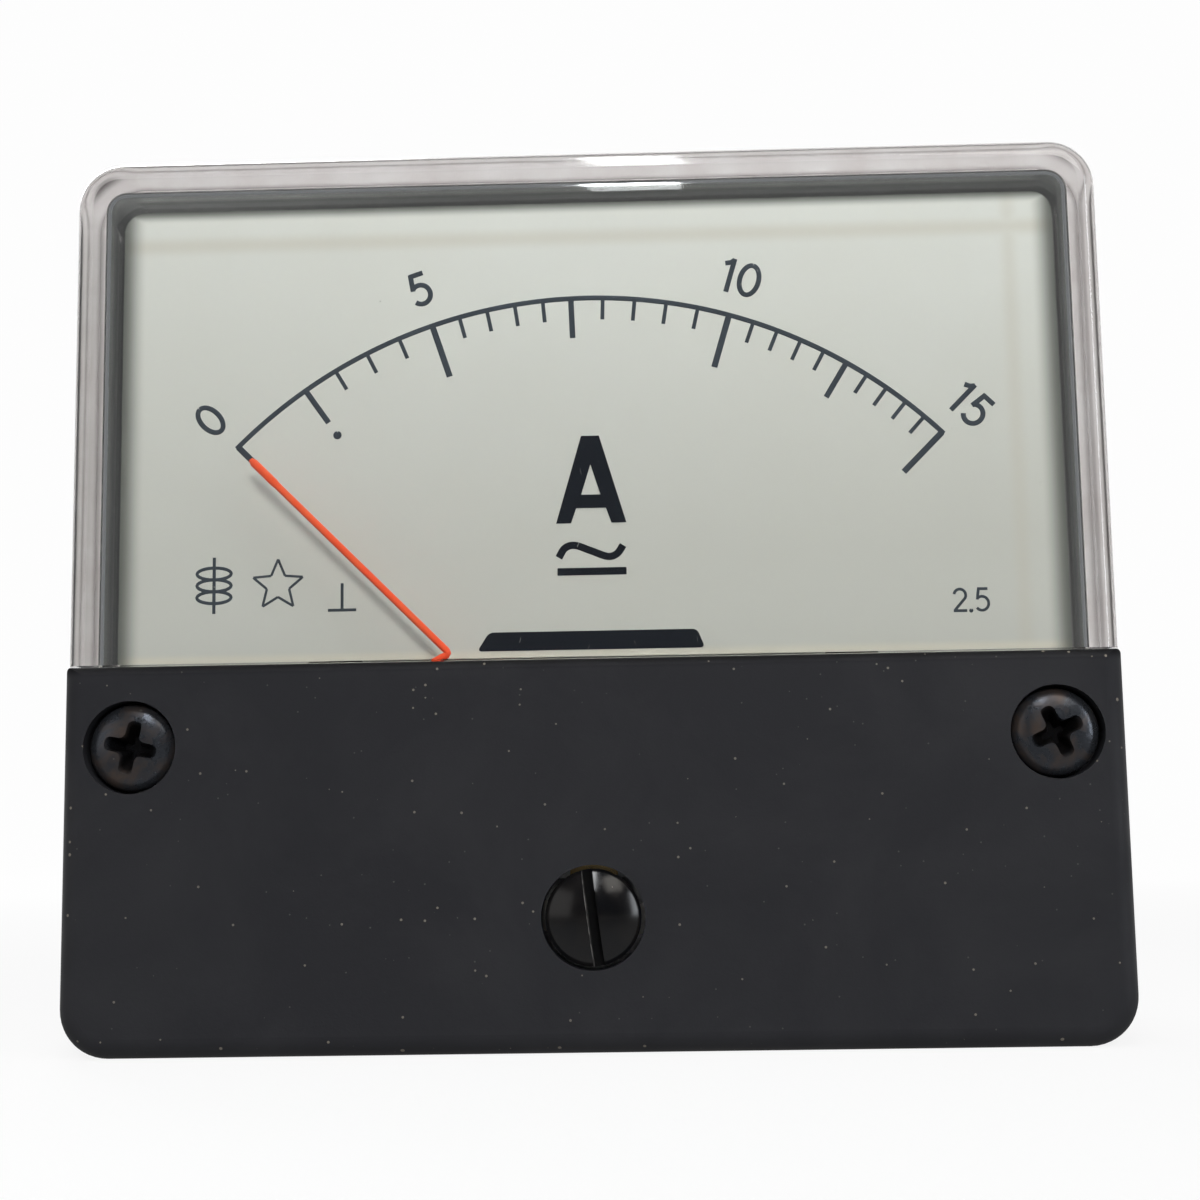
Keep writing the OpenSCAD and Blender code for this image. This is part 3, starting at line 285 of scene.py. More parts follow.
def clear_window_finish():
    """Clear acrylic with a dull rim. Lamp rays go straight through it, so the dial behind is lit evenly."""
    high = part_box("clear_cover")[1] / MM
    rim = 1.9
    material, tree, surface = new_finish("clear_acrylic", IOR=1.49, Transmission_Weight=1.0,
                                         Base_Color=(0.972, 0.98, 0.97, 1))
    where = object_mm(tree)
    marks = use_effect(tree, HAIRLINES, object_mm(tree, (0.5, 1, 0.9)), Scale=0.35, Width=0.0012, Share=0.6)
    haze = use_effect(tree, SMUDGES, where, Scale=0.05, Low=0.5, High=0.8)
    rough = maths(tree, "ADD", maths(tree, "MULTIPLY", haze, 0.008), maths(tree, "MULTIPLY", marks, 0.1))
    x, _, z = axes(tree, where)
    past_x = maths(tree, "SUBTRACT", maths(tree, "ABSOLUTE", x), high.x - rim)
    past_edge = maths(tree, "MAXIMUM", past_x, maths(tree, "SUBTRACT", z, high.z - rim))
    rough = maths(tree, "ADD", rough, ramp(tree, past_edge, 0.0, 0.7, 0.0, 0.07))
    tree.links.new(rough, surface.inputs["Roughness"])
    clear = add_node(tree, "ShaderNodeBsdfTransparent", {"Color": (0.94, 0.95, 0.94, 1)})
    path = add_node(tree, "ShaderNodeLightPath")
    mixed = add_node(tree, "ShaderNodeMixShader", {
        0: path.outputs["Is Shadow Ray"], 1: surface.outputs[0], 2: clear.outputs[0]})
    tree.links.new(mixed.outputs[0], tree.nodes["Material Output"].inputs["Surface"])
    return material


def dial_face_finish():
    """Matt paint, aged a little. It has painted shade close to the cover's walls and toward the bottom,
    painted reflections as faint warm bars inside the walls, and a painted highlight as a light line just
    above the black cover.
    """
    low, high = (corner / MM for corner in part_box("dial_plate"))
    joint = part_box("black_cover")[1].z / MM
    material, tree, surface = new_finish("dial_paint", Roughness=0.5, Specular_IOR_Level=0.3)
    where = object_mm(tree)
    age = use_effect(tree, SMUDGES, where, Scale=0.06, Low=0.3, High=0.75)
    body = blend(tree, age, (0.715, 0.72, 0.69, 1), (0.695, 0.695, 0.655, 1))
    dark = use_effect(tree, SPECKS, where, Spacing=1.1, Size=0.085, Share=0.3)
    fine = use_effect(tree, SPECKS, where, Spacing=0.9, Size=0.045, Share=0.08)
    body = tint(tree, body, fine, 0.35, (0.25, 0.24, 0.2, 1))
    body = tint(tree, body, dark, 0.6, (0.12, 0.11, 0.1, 1))
    x, _, z = axes(tree, where)
    from_right = maths(tree, "SUBTRACT", high.x, x)
    from_left = maths(tree, "SUBTRACT", x, low.x)
    from_top = maths(tree, "SUBTRACT", high.z, z)
    # Painted shade: the dial grows darker from the top downward, as the light falls off
    body = blend(tree, ramp(tree, from_top, 6.0, 24.0, 0.0, 0.55), body, (0.5, 0.495, 0.455, 1))
    # Painted shade along the sides and the top, where the cover's wall shades the dial
    side = near_edge(tree, maths(tree, "MINIMUM", from_left, from_right), 1.6)
    rim = maths(tree, "MAXIMUM", side, near_edge(tree, from_top, 0.8))
    # Painted reflections: faint warm bars along the top and the right
    along_top = near_edge(tree, apart(tree, from_top, 2.4), 0.9)
    along_right = near_edge(tree, apart(tree, from_right, 3.0), 0.9)
    bars = maths(tree, "MAXIMUM", along_top, maths(tree, "MULTIPLY", along_right, 0.7))
    body = tint(tree, body, bars, 0.45, (0.56, 0.52, 0.44, 1))
    # Painted highlight: a thin light line just above the black cover's edge
    body = tint(tree, body, near_edge(tree, apart(tree, z, joint + 0.75), 0.6), 0.8, (0.7, 0.66, 0.565, 1))
    # Lays on the painted shade along the walls
    body = tint(tree, body, rim, 0.9, (0.08, 0.085, 0.075, 1))
    paint(tree, surface, body)
    press_grain(tree, surface, where, 5.0, 0.004, 0.4)
    return material


def ink_finish(name, body, wear_and_glint, share, width):
    """Printing ink with hairline scratches and small bare flecks."""
    material, tree, surface = new_finish(name, Roughness=0.75, Specular_IOR_Level=0.15)
    where = object_mm(tree)
    lines = use_effect(tree, HAIRLINES, object_mm(tree, (1.3, 1, 0.6)), Scale=0.6, Width=width, Share=share)
    flecks = use_effect(tree, SPECKS, where, Spacing=0.6, Size=0.05, Share=0.22)
    mask = maths(tree, "MAXIMUM", maths(tree, "MULTIPLY", lines, 0.5), maths(tree, "MULTIPLY", flecks, 0.55))
    paint(tree, surface, blend(tree, mask, body, wear_and_glint))
    return material


def pointer_finish():
    """Orange paint, a little thinner in patches."""
    material, tree, surface = new_finish("pointer_paint", Roughness=0.4)
    where = object_mm(tree)
    thin = use_effect(tree, SMUDGES, where, Scale=0.7, Low=0.4, High=0.8)
    paint(tree, surface, blend(tree, thin, (0.93, 0.085, 0.022, 1), (0.88, 0.13, 0.04, 1)))
    press_grain(tree, surface, where, 6.0, 0.004, 0.5)
    return material


def black_screw_finish():
    """Blackened steel, rubbed to a warm brown where it is touched, with painted shade that darkens the driver
    recess most.
    """
    low, high = (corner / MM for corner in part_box("cover_screw_right"))
    # Both go with the square of the distance from the axis: the dome's fall, and where the recess ends
    dome_fall, recess_square = 0.06, 4.4
    material, tree, surface = new_finish("blackened_steel", Metallic=0.75)
    where = object_mm(tree)
    rub = use_effect(tree, SMUDGES, where, Scale=0.55, Low=0.45, High=0.72)
    body = blend(tree, rub, (0.06, 0.066, 0.078, 1), (0.12, 0.09, 0.074, 1))
    dust = use_effect(tree, SPECKS, where, Spacing=0.8, Size=0.07, Share=0.3)
    body = tint(tree, body, dust, 0.5, (0.2, 0.19, 0.17, 1))
    x, y, z = axes(tree, where)
    off_x = maths(tree, "SUBTRACT", maths(tree, "ABSOLUTE", x), (low.x + high.x) / 2)
    square = squares(tree, off_x, maths(tree, "SUBTRACT", z, (low.z + high.z) / 2))
    dome = maths(tree, "MULTIPLY", square, dome_fall)
    sunk = maths(tree, "SUBTRACT", maths(tree, "SUBTRACT", y, low.y), dome)
    # Painted shade: the driver recess turns near black as it goes deeper
    inside = maths(tree, "LESS_THAN", square, recess_square)
    recess = maths(tree, "MULTIPLY", inside, ramp(tree, sunk, 0.08, 0.5, 0.0, 0.9))
    body = blend(tree, recess, body, (0.006, 0.006, 0.007, 1))
    paint(tree, surface, body, ramp(tree, rub, 0, 1, 0.27, 0.42))
    press_grain(tree, surface, where, 2.2, 0.03, 0.7)
    return material


def gloss_black_finish():
    """Glossy moulded black, with a painted highlight along one lip of its driver slot, and painted shade in
    the slot, which is itself dull.
    """
    low, high = (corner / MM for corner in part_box("zero_adjuster"))
    half_slot = SLOT_W / 2
    material, tree, surface = new_finish("gloss_black")
    where = object_mm(tree)
    haze = use_effect(tree, SMUDGES, where, Scale=0.5, Low=0.4, High=0.8)
    body = blend(tree, haze, (0.003, 0.0032, 0.004, 1), (0.008, 0.0066, 0.006, 1))
    dust = use_effect(tree, SPECKS, where, Spacing=0.6, Size=0.06, Share=0.15)
    body = tint(tree, body, dust, 0.5, (0.2, 0.18, 0.16, 1))
    square_on = add_node(tree, "ShaderNodeMapping", {
        "Vector": where, "Location": (low + high) / 2, "Rotation": (0, math.radians(SLOT_ANGLE), 0),
    }, vector_type="TEXTURE")
    across = axes(tree, square_on.outputs[0])[0]
    # Painted shade: the driver slot is near black, as its walls and floor lie in shadow
    slot = maths(tree, "LESS_THAN", maths(tree, "ABSOLUTE", across), half_slot - 0.01)
    # Painted highlight: a light line along one lip of the slot, broken up in patches
    lip = near_edge(tree, apart(tree, across, -half_slot - 0.02), 0.05)
    wear_and_glint = add_node(tree, "ShaderNodeTexNoise", {"Vector": where, "Scale": 1.6, "Detail": 3.0}).outputs[0]
    lip = maths(tree, "MULTIPLY", lip, ramp(tree, wear_and_glint, 0.4, 0.6, 0.25, 1.0))
    body = blend(tree, slot, body, (0.0015, 0.0015, 0.0017, 1))
    body = tint(tree, body, lip, 0.7, (0.2, 0.195, 0.19, 1))
    paint(tree, surface, body, blend(tree, slot, ramp(tree, haze, 0, 1, 0.16, 0.28), grey(0.95)))
    return material


def metal_finish(name, bright, dull, rough, grain=4.0, stretch=(1, 1, 1)):
    """A bare or plated metal, with uneven tarnish and fine tool marks."""
    material, tree, surface = new_finish(name, Metallic=1.0)
    tarnish = use_effect(tree, SMUDGES, object_mm(tree), Scale=0.35, Low=0.38, High=0.72)
    polish = ramp(tree, tarnish, 0, 1, rough * 0.8, rough * 1.35)
    paint(tree, surface, blend(tree, tarnish, bright, dull), polish)
    press_grain(tree, surface, object_mm(tree, stretch), grain, 0.006, 0.5)
    return material


def plain_plastic_finish(name, light, dark, rough):
    """A plain moulding, with faint patches."""
    material, tree, surface = new_finish(name, Roughness=rough)
    where = object_mm(tree)
    patches = use_effect(tree, SMUDGES, where, Scale=0.3, Low=0.35, High=0.7)
    paint(tree, surface, blend(tree, patches, light, dark))
    press_grain(tree, surface, where, 4.0, 0.008, 0.5)
    return material


def enamelled_wire_finish():
    """Copper under clear enamel."""
    material, tree, surface = new_finish("enamelled_copper", Metallic=1.0, Roughness=0.3, Coat_Weight=0.6)
    where = object_mm(tree)
    shade = use_effect(tree, SMUDGES, where, Scale=0.5, Low=0.35, High=0.7)
    paint(tree, surface, blend(tree, shade, (0.62, 0.2, 0.075, 1), (0.4, 0.11, 0.045, 1)))
    press_grain(tree, surface, where, 1.5, 0.01, 0.4)
    return material


def frosted_foot_finish():
    """Matt cut plastic, lightest in the middle of the wall, with painted shade that darkens it toward both of
    its edges.
    """
    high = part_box("clear_cover")[1] / MM
    corner_r, wall = 3.0, 1.6
    material, tree, surface = new_finish("frosted_acrylic", Roughness=0.7)
    where = object_mm(tree)
    x, _, z = axes(tree, where)
    over_x = maths(tree, "SUBTRACT", maths(tree, "ABSOLUTE", x), high.x - corner_r)
    over_z = maths(tree, "SUBTRACT", z, high.z - corner_r)
    round_x, round_z = (maths(tree, "MAXIMUM", over, 0.0) for over in (over_x, over_z))
    reach = maths(tree, "SQRT", squares(tree, round_x, round_z))
    flat = maths(tree, "MINIMUM", maths(tree, "MAXIMUM", over_x, over_z), 0.0)
    depth = maths(tree, "SUBTRACT", corner_r, maths(tree, "ADD", reach, flat))
    cloud = use_effect(tree, SMUDGES, where, Scale=0.3, Low=0.35, High=0.7)
    body = blend(tree, cloud, (0.67, 0.64, 0.645, 1), (0.57, 0.525, 0.525, 1))
    # Painted shade: darker at the wall's outer edge, and more so at its inner edge
    body = tint(tree, body, near_edge(tree, depth, 0.35), 0.5, (0.12, 0.1, 0.1, 1))
    inner = near_edge(tree, maths(tree, "SUBTRACT", wall, depth), 0.75)
    paint(tree, surface, tint(tree, body, inner, 0.9, (0.06, 0.05, 0.05, 1)))
    press_grain(tree, surface, where, 6.0, 0.01, 0.8)
    return material


FINISHES = {
    "phenolic_black": phenolic_finish(),
    "clear_plastic": clear_window_finish(),
    "black_cover": black_cover_finish(),
    "black_steel": black_screw_finish(),
    "brass": metal_finish("brass", (0.74, 0.52, 0.2, 1), (0.5, 0.33, 0.13, 1), 0.28),
    "bronze_spring": metal_finish("phosphor_bronze", (0.66, 0.42, 0.2, 1), (0.48, 0.29, 0.15, 1), 0.32),
    "tinned_brass": metal_finish("tinned_brass", (0.74, 0.73, 0.7, 1), (0.55, 0.53, 0.48, 1), 0.36),
    "zinc_steel": metal_finish("zinc_plate", (0.66, 0.67, 0.69, 1), (0.5, 0.5, 0.47, 1), 0.3),
    "dial_white": dial_face_finish(),
    "adjuster_black": gloss_black_finish(),
    "pointer_orange": pointer_finish(),
    "aluminium": metal_finish("rolled_aluminium", (0.8, 0.81, 0.82, 1), (0.66, 0.67, 0.68, 1), 0.34,
                              grain=6.0, stretch=(0.15, 1, 3)),
    "soft_iron": metal_finish("soft_iron", (0.36, 0.35, 0.34, 1), (0.22, 0.2, 0.19, 1), 0.5),
    "moulded_grey": plain_plastic_finish("chamber_moulding", (0.024, 0.025, 0.027, 1),
                                         (0.034, 0.034, 0.036, 1), 0.5),
    "bobbin_cream": plain_plastic_finish("bobbin_moulding", (0.66, 0.6, 0.44, 1), (0.58, 0.5, 0.35, 1), 0.45),
    "copper": enamelled_wire_finish(),
}
INK = ink_finish("scale_ink", (0.048, 0.058, 0.072, 1), (0.4, 0.4, 0.37, 1), 0.7, 0.006)
BOLD_INK = ink_finish("bold_ink", (0.0065, 0.0085, 0.014, 1), (0.4, 0.4, 0.38, 1), 0.62, 0.004)


def dress_cad_nodes():
    """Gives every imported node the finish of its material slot."""
    for part in frame["record"]["subparts"]:
        data = frame["nodes"][part["node"]].data
        data.materials.clear()
        data.materials.append(FINISHES[part["material_slot"]])


# ---------- Meshes and pieces ----------

def add_object(name, data):
    made = bpy.data.objects.new(name, data)
    bpy.context.scene.collection.objects.link(made)
    return made


def mesh_of(name, shape):
    """Turns a bmesh into a mesh, and frees it."""
    mesh = bpy.data.meshes.new(name)
    shape.to_mesh(mesh)
    shape.free()
    return mesh


def make_piece(name, mesh, material, body, smooth=True):
    """Turns a mesh or a bmesh, already in place, into a piece that rides on a body."""
    if isinstance(mesh, bmesh.types.BMesh):
        mesh = mesh_of(name, mesh)
    mesh.name = name
    mesh.materials.clear()
    mesh.materials.append(material)
    mesh.polygons.foreach_set("use_smooth", [smooth] * len(mesh.polygons))
    piece = add_object(name, mesh)
    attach(piece, body)
    return piece


def only(kind, made):
    """The vertices or the edges among what an operator made."""
    return [element for element in made if isinstance(element, kind)]


def raise_faces(shape, shift):
    """Gives flat faces a thickness, and returns the vertices of their moved copy."""
    moved = only(bmesh.types.BMVert, bmesh.ops.extrude_face_region(shape, geom=shape.faces[:])["geom"])
    bmesh.ops.translate(shape, verts=moved, vec=shift)
    return moved


def turn_round(shape, centre, steps):
    """Turns a line in the XY plane once round the Y direction through centre."""
    bmesh.ops.spin(shape, geom=shape.verts[:] + shape.edges[:], cent=centre, axis=(0, 1, 0),
                   angle=2 * math.pi, steps=steps, use_merge=True, use_duplicate=False)


def move_to_node(shape, node, y=0):
    """Moves a shape that was made round the Y axis to a node's own axis."""
    low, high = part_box(node)
    bmesh.ops.translate(shape, verts=shape.verts, vec=((low.x + high.x) / 2, y, (low.z + high.z) / 2))


def round_curve(name, radius, resolution):
    """An empty curve whose lines become round rods with closed ends."""
    curve = bpy.data.curves.new(name, "CURVE")
    curve.dimensions = "3D"
    curve.bevel_depth = radius
    curve.bevel_resolution = resolution
    curve.use_fill_caps = True
    return curve


def add_line(curve, points, shares):
    """Adds straight lengths from point to point. A point's share multiplies the curve's radius there."""
    line = curve.splines.new("POLY")
    line.points.add(len(points) - 1)
    for end, point, share in zip(line.points, points, shares):
        end.co = (*point, 1)
        end.radius = share


def curve_mesh(curve):
    drawn = add_object(curve.name, curve)
    bpy.context.view_layer.update()
    mesh = bpy.data.meshes.new_from_object(drawn.evaluated_get(bpy.context.evaluated_depsgraph_get()))
    bpy.data.objects.remove(drawn)
    return mesh


# ---------- Print on the dial, in millimetres ----------

INK_T = 0.03 * MM
SCALE_R = 33.45
SWEEP = math.radians(90)
# The scale's cardinal points, as the reading and its share of the sweep: it is crowded at its foot
CARDINALS = ((0, 0), (3, 0.113), (5, 0.297), (7.5, 0.48), (10, 0.686), (12.5, 0.849), (15, 1))
FIGURE_R = 36.15
FIGURE_H = 2.4
# How far each figure moves the next one on, and how wide it is itself, as shares of its height
FIGURE_ADVANCE = {"0": 0.78, "1": 0.56, "2": 0.68, "5": 0.68, ".": 0.2}
FIGURE_WIDTH = {"0": 0.64, "1": 0.36, "2": 0.6, "5": 0.6, ".": 0.1}


def scale_angle(reading):
    """Angle from straight up, clockwise, of a reading."""
    stretches = zip(CARDINALS, CARDINALS[1:])
    (a, share_a), (b, share_b) = next(ends for ends in stretches if reading <= ends[1][0])
    share = share_a + (share_b - share_a) * (reading - a) / (b - a)
    return (share - 0.5) * SWEEP


def scale_point(angle, radius):
    return (radius * math.sin(angle), PIVOT.z / MM + radius * math.cos(angle))


def arc_points(centre, radii, start, end, steps):
    """Points on part of an ellipse, by angle from straight up, clockwise, in degrees."""
    turn = [math.radians(start + (end - start) * i / steps) for i in range(steps + 1)]
    return [(centre[0] + radii[0] * math.sin(t), centre[1] + radii[1] * math.cos(t)) for t in turn]


def smooth_path(knots, steps):
    """A smooth run of points through the knots."""
    knots = [Vector(knot) for knot in knots]
    run = [2 * knots[0] - knots[1], *knots, 2 * knots[-1] - knots[-2]]
    points = []
    for p0, p1, p2, p3 in zip(run, run[1:], run[2:], run[3:]):
        for t in (step / steps for step in range(steps)):
            bend = (2 * p0 - 5 * p1 + 4 * p2 - p3) * t ** 2 + (3 * p1 - p0 - 3 * p2 + p3) * t ** 3
            points.append((2 * p1 + (p2 - p0) * t + bend) / 2)
    return points + [knots[-1]]


class InkLines:
    """Pen lines on the dial, each with its own width."""

    def __init__(self, name):
        self.curve = round_curve(name, 0.5 * MM, 2)

    def draw(self, points, width, place=Matrix.Identity(4)):
        ends = [(place @ Vector((x, 0, z))) * MM for x, z in points]
        add_line(self.curve, ends, [width] * len(ends))

    def print_on_dial(self, name, material):
        mesh = curve_mesh(self.curve)
        depth = max(v.co.y for v in mesh.vertices)
        mesh.transform(Matrix.Translation((0, DIAL_Y, 0)) @ Matrix.Diagonal((1, INK_T / depth, 1, 1)))
        make_piece(name, mesh, material, "case")


def figure_strokes(figure):
    """The strokes of a figure, each a list of points, in a cell one unit high with its foot at 0."""
    strokes = {
        "0": [arc_points((0.32, 0.5), (0.265, 0.435), 0, 360, 28)],
        "1": [[(0.33, 0), (0.33, 0.99)], [(0.10, 0.80), (0.24, 0.86), (0.345, 0.965)]],
        "2": [arc_points((0.3, 0.69), (0.235, 0.245), -80, 120, 12) + [(0.07, 0.07)],
              [(0.03, 0.065), (0.57, 0.065)]],
        "5": [[(0.145, 0.935), (0.53, 0.935)], [(0.175, 0.99), (0.105, 0.50)],
              arc_points((0.29, 0.345), (0.265, 0.28), -48, 232, 22)],
        ".": [arc_points((0.05, 0.06), (0.03, 0.03), 0, 360, 8)],
    }
    return strokes[figure]


def write_figures(lines, words, height, stroke, place):
    """Writes figures centred on the origin of place, upright along its Z."""
    width = sum(FIGURE_ADVANCE[c] for c in words[:-1]) + FIGURE_WIDTH[words[-1]]
    x = -width / 2
    for figure in words:
        for points in figure_strokes(figure):
            lines.draw([((x + a) * height, (b - 0.5) * height) for a, b in points], stroke, place)
        x += FIGURE_ADVANCE[figure]


def draw_scale(lines):
    """The arc, its ticks, a dot under the third one and the figures."""
    first, last = (math.degrees(scale_angle(reading)) for reading in (0, 15))
    overrun = math.degrees(0.15 / SCALE_R)
    pivot = (0, PIVOT.z / MM)
    lines.draw(arc_points(pivot, (SCALE_R, SCALE_R), first - overrun, last + overrun, 180), 0.34)
    main, middle = (0, 5, 10, 15), (3, 7.5, 12.5)
    fine = [half / 2 for half in range(7, 30) if half / 2 not in main + middle]
    for readings, length, width in ((main, 3.75, 0.42), (middle, 2.75, 0.38), (fine, 1.5, 0.26)):
        for angle in map(scale_angle, readings):
            lines.draw([scale_point(angle, SCALE_R), scale_point(angle, SCALE_R - length)], width)
    lines.draw(arc_points(scale_point(scale_angle(3), SCALE_R - 3.8), (0.14, 0.14), 0, 360, 12), 0.3)
    for reading in main:
        angle = scale_angle(reading)
        x, z = scale_point(angle, FIGURE_R)
        place = Matrix.Translation((x, 0, z)) @ Matrix.Rotation(angle, 4, "Y")
        write_figures(lines, str(reading), FIGURE_H, 0.34, place)


def draw_symbols(lines):
    """Plain signs, as such dials carry: a moving-iron coil, a star, upright mounting and the figure 2.5."""
    write_figures(lines, "2.5", 1.65, 0.19, Matrix.Translation((25.1, 0, -0.72)))
    coil_x, coil_z = -25.2, 1.2
    lines.draw([(coil_x, coil_z - 1.9), (coil_x, coil_z + 1.9)], 0.22)
    for i in range(3):
        for start in (0, 180):
            turn = arc_points((coil_x, coil_z + 0.8 - 0.8 * i), (1.15, 0.4), start, start + 180, 12)
            lines.draw(turn, 0.22)
    star_x, star_z, star_r = -20.9, 1.15, 1.75
    star = []
    for i in range(11):
        turn = i * math.pi / 5
        radius = star_r if i % 2 == 0 else star_r * 0.45
        star.append((star_x + radius * math.sin(turn), star_z + radius * math.cos(turn)))
    for a, b in zip(star, star[1:]):
        lines.draw([a, b], 0.17)
    upright_x, upright_z = -16.6, -0.6
    lines.draw([(upright_x - 0.95, upright_z), (upright_x + 0.95, upright_z)], 0.2)
    lines.draw([(upright_x, upright_z), (upright_x, upright_z + 1.8)], 0.2)


def draw_current_sign(lines):
    """The sign for direct and alternating current is this wave with a bar under it."""
    wave = [(-2.1, 2.62), (-1.68, 3.27), (-1.0, 3.44), (0.08, 3.05), (1.15, 2.66), (1.78, 2.83), (2.2, 3.4)]
    lines.draw(smooth_path(wave, 7), 0.5)


def flat_print(name, outlines, bevel=0.0):
    """Solid areas of bold ink, with corners rounded by bevel."""
    sheet = bmesh.new()
    for outline in outlines:
        sheet.faces.new([sheet.verts.new((x * MM, DIAL_Y, z * MM)) for x, z in outline])
    bmesh.ops.recalc_face_normals(sheet, faces=sheet.faces)
    if bevel:
        bmesh.ops.bevel(sheet, geom=sheet.verts[:], affect="VERTICES", offset=bevel * MM, segments=4,
                        profile=0.5, material=-1)
    raise_faces(sheet, (0, -INK_T, 0))
    bmesh.ops.triangulate(sheet, faces=sheet.faces)
    bmesh.ops.recalc_face_normals(sheet, faces=sheet.faces)
    make_piece(name, sheet, BOLD_INK, "case", smooth=False)


def print_dial():
    lines = InkLines("scale_lines")
    draw_scale(lines)
    draw_symbols(lines)
    lines.print_on_dial("scale_print", INK)
    bold = InkLines("bold_lines")
    draw_current_sign(bold)
    bold.print_on_dial("current_sign_print", BOLD_INK)
    # The letter A, as two halves that share its middle line, each with its half of the counter
    mid, foot = 0.1, 4.93
    half = [(0, 5.94), (0.6, 5.94), (2.35, 0), (1.35, 0), (0.99, 1.02), (0, 1.02)]
    counter = [(0, 1.93), (0.645, 1.93), (0, 3.98)]
    flat_print("letter_print", [[(mid + side * x, foot + z) for x, z in half + counter] for side in (-1, 1)])
    flat_print("underline_print", [[(-2.2, 1.42), (2.4, 1.42), (2.4, 1.92), (-2.2, 1.92)]], 0.05)
    flat_print("pivot_bar_print", [[(-7.6, -3.55), (7.5, -3.55), (7.0, -2.3), (-6.8, -2.3)]], 0.3)


# ---------- Pointer ----------

def pointer_wire(hub_y, reading_y):
    """A wire that points at zero. It is bent aside behind the cover's edge, which leaves a hook in sight."""
    zero = scale_angle(0)
    along = Vector((math.sin(zero), 0, math.cos(zero)))
    aside = Vector((-math.cos(zero), 0, math.sin(zero)))
    # Each knot's distance from the spindle, its distance aside and its share of the wire's thickness
    hub_end = ((1.2, 0, 0.5), (4.4, 0, 0.5))
    reading_end = (
        (6.9, 0, 0.8), (9.6, 0, 1), (10.5, 0.12, 1), (12.45, 1.2, 1), (13.1, 1.33, 1), (13.35, 1.1, 1),
        (13.12, 0.42, 1), (13.03, 0.22, 1), (13.07, 0.07, 1), (13.25, 0, 1),
        (29, 0, 1), (29.3, 0, 1.15), (31.2, 0, 1.15), (31.5, 0, 0.6),
    )
    points = []
    for knots, y in ((hub_end, hub_y), (reading_end, reading_y)):
        for out, over, _ in knots:
            point = PIVOT + along * out * MM + aside * over * MM
            point.y = y
            points.append(point)
    curve = round_curve("pointer_wire", 0.24 * MM, 4)
    add_line(curve, points, [share for _, _, share in hub_end + reading_end])
    return curve_mesh(curve)


def dress_pointer(finish):
    """A round painted wire on a flat hub."""
    low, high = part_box("pointer")
    spindle_low, spindle_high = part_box("spindle")
    half_t, hub_r, play = 0.125 * MM, 1.5 * MM, 0.02 * MM
    bore_r = (spindle_high.x - spindle_low.x) / 2 + play
    hub_y = high.y - half_t
    hub = bmesh.new()
    section = [hub.verts.new((r, y, PIVOT.z)) for r, y in (
        (bore_r, hub_y - half_t), (hub_r, hub_y - half_t), (hub_r, hub_y + half_t), (bore_r, hub_y + half_t))]
    for a, b in zip(section, section[1:] + section[:1]):
        hub.edges.new((a, b))
    turn_round(hub, (0, 0, PIVOT.z), 48)
    hub.from_mesh(pointer_wire(hub_y, low.y + half_t))
    bmesh.ops.remove_doubles(hub, verts=hub.verts, dist=0.001 * MM)
    bmesh.ops.recalc_face_normals(hub, faces=hub.faces)
    piece = make_piece("pointer_dressed", hub, finish, "pointer_system")
    piece.data.set_sharp_from_angle(angle=math.radians(40))
    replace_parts(piece, "pointer")


# ---------- Clear cover's foot ----------

def frost_cover_foot():
    """The matt end of the cover's wall, which shows as a light band through the polished wall."""
    foot_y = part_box("clear_cover")[1].y
    film = bmesh.new()
    film.from_mesh(frame["nodes"]["clear_cover"].data)
    others = [f for f in film.faces if f.normal.y < 0.99 or f.calc_center_median().y < foot_y - 0.01 * MM]
    bmesh.ops.delete(film, geom=others, context="FACES")
    bmesh.ops.remove_doubles(film, verts=film.verts, dist=0.001 * MM)
    raise_faces(film, (0, -0.03 * MM, 0))
    bmesh.ops.translate(film, verts=film.verts, vec=(0, -0.005 * MM, 0))
    bmesh.ops.recalc_face_normals(film, faces=film.faces)
    make_piece("cover_foot_frost", film, frosted_foot_finish(), "case", smooth=False)


# ---------- Threads and screws ----------

def thread_rod(thread, y0, y1, steps=28):
    """A threaded rod along Y: a zigzag line turned on a screw path, cut off square, closed and chamfered."""
    radius, pitch, depth = thread
    rod = bmesh.new()
    count = int((y1 - y0) / pitch) + 3
    zigzag = [rod.verts.new((radius - depth * (i % 2), y0 - 1.5 * pitch + i * pitch / 2, 0))
              for i in range(2 * count + 1)]
    for a, b in zip(zigzag, zigzag[1:]):
        rod.edges.new((a, b))
    bmesh.ops.spin(rod, geom=rod.verts[:] + rod.edges[:], cent=(0, 0, 0), axis=(0, 1, 0), angle=2 * math.pi,
                   dvec=(0, pitch / steps, 0), steps=steps, use_merge=False, use_duplicate=False)
    bmesh.ops.remove_doubles(rod, verts=rod.verts, dist=pitch / 50)
    for level, outward in ((y0, (0, -1, 0)), (y1, (0, 1, 0))):
        cut = bmesh.ops.bisect_plane(rod, geom=rod.verts[:] + rod.edges[:] + rod.faces[:],
                                     plane_co=(0, level, 0), plane_no=outward, clear_outer=True)
        bmesh.ops.contextual_create(rod, geom=only(bmesh.types.BMEdge, cut["geom_cut"]))
    bmesh.ops.recalc_face_normals(rod, faces=rod.faces)
    for vert in rod.verts:
        reach = vert.co.xz.length
        limit = radius - depth + (y1 - vert.co.y)
        if reach > limit:
            vert.co.x *= limit / reach
            vert.co.z *= limit / reach
    return rod


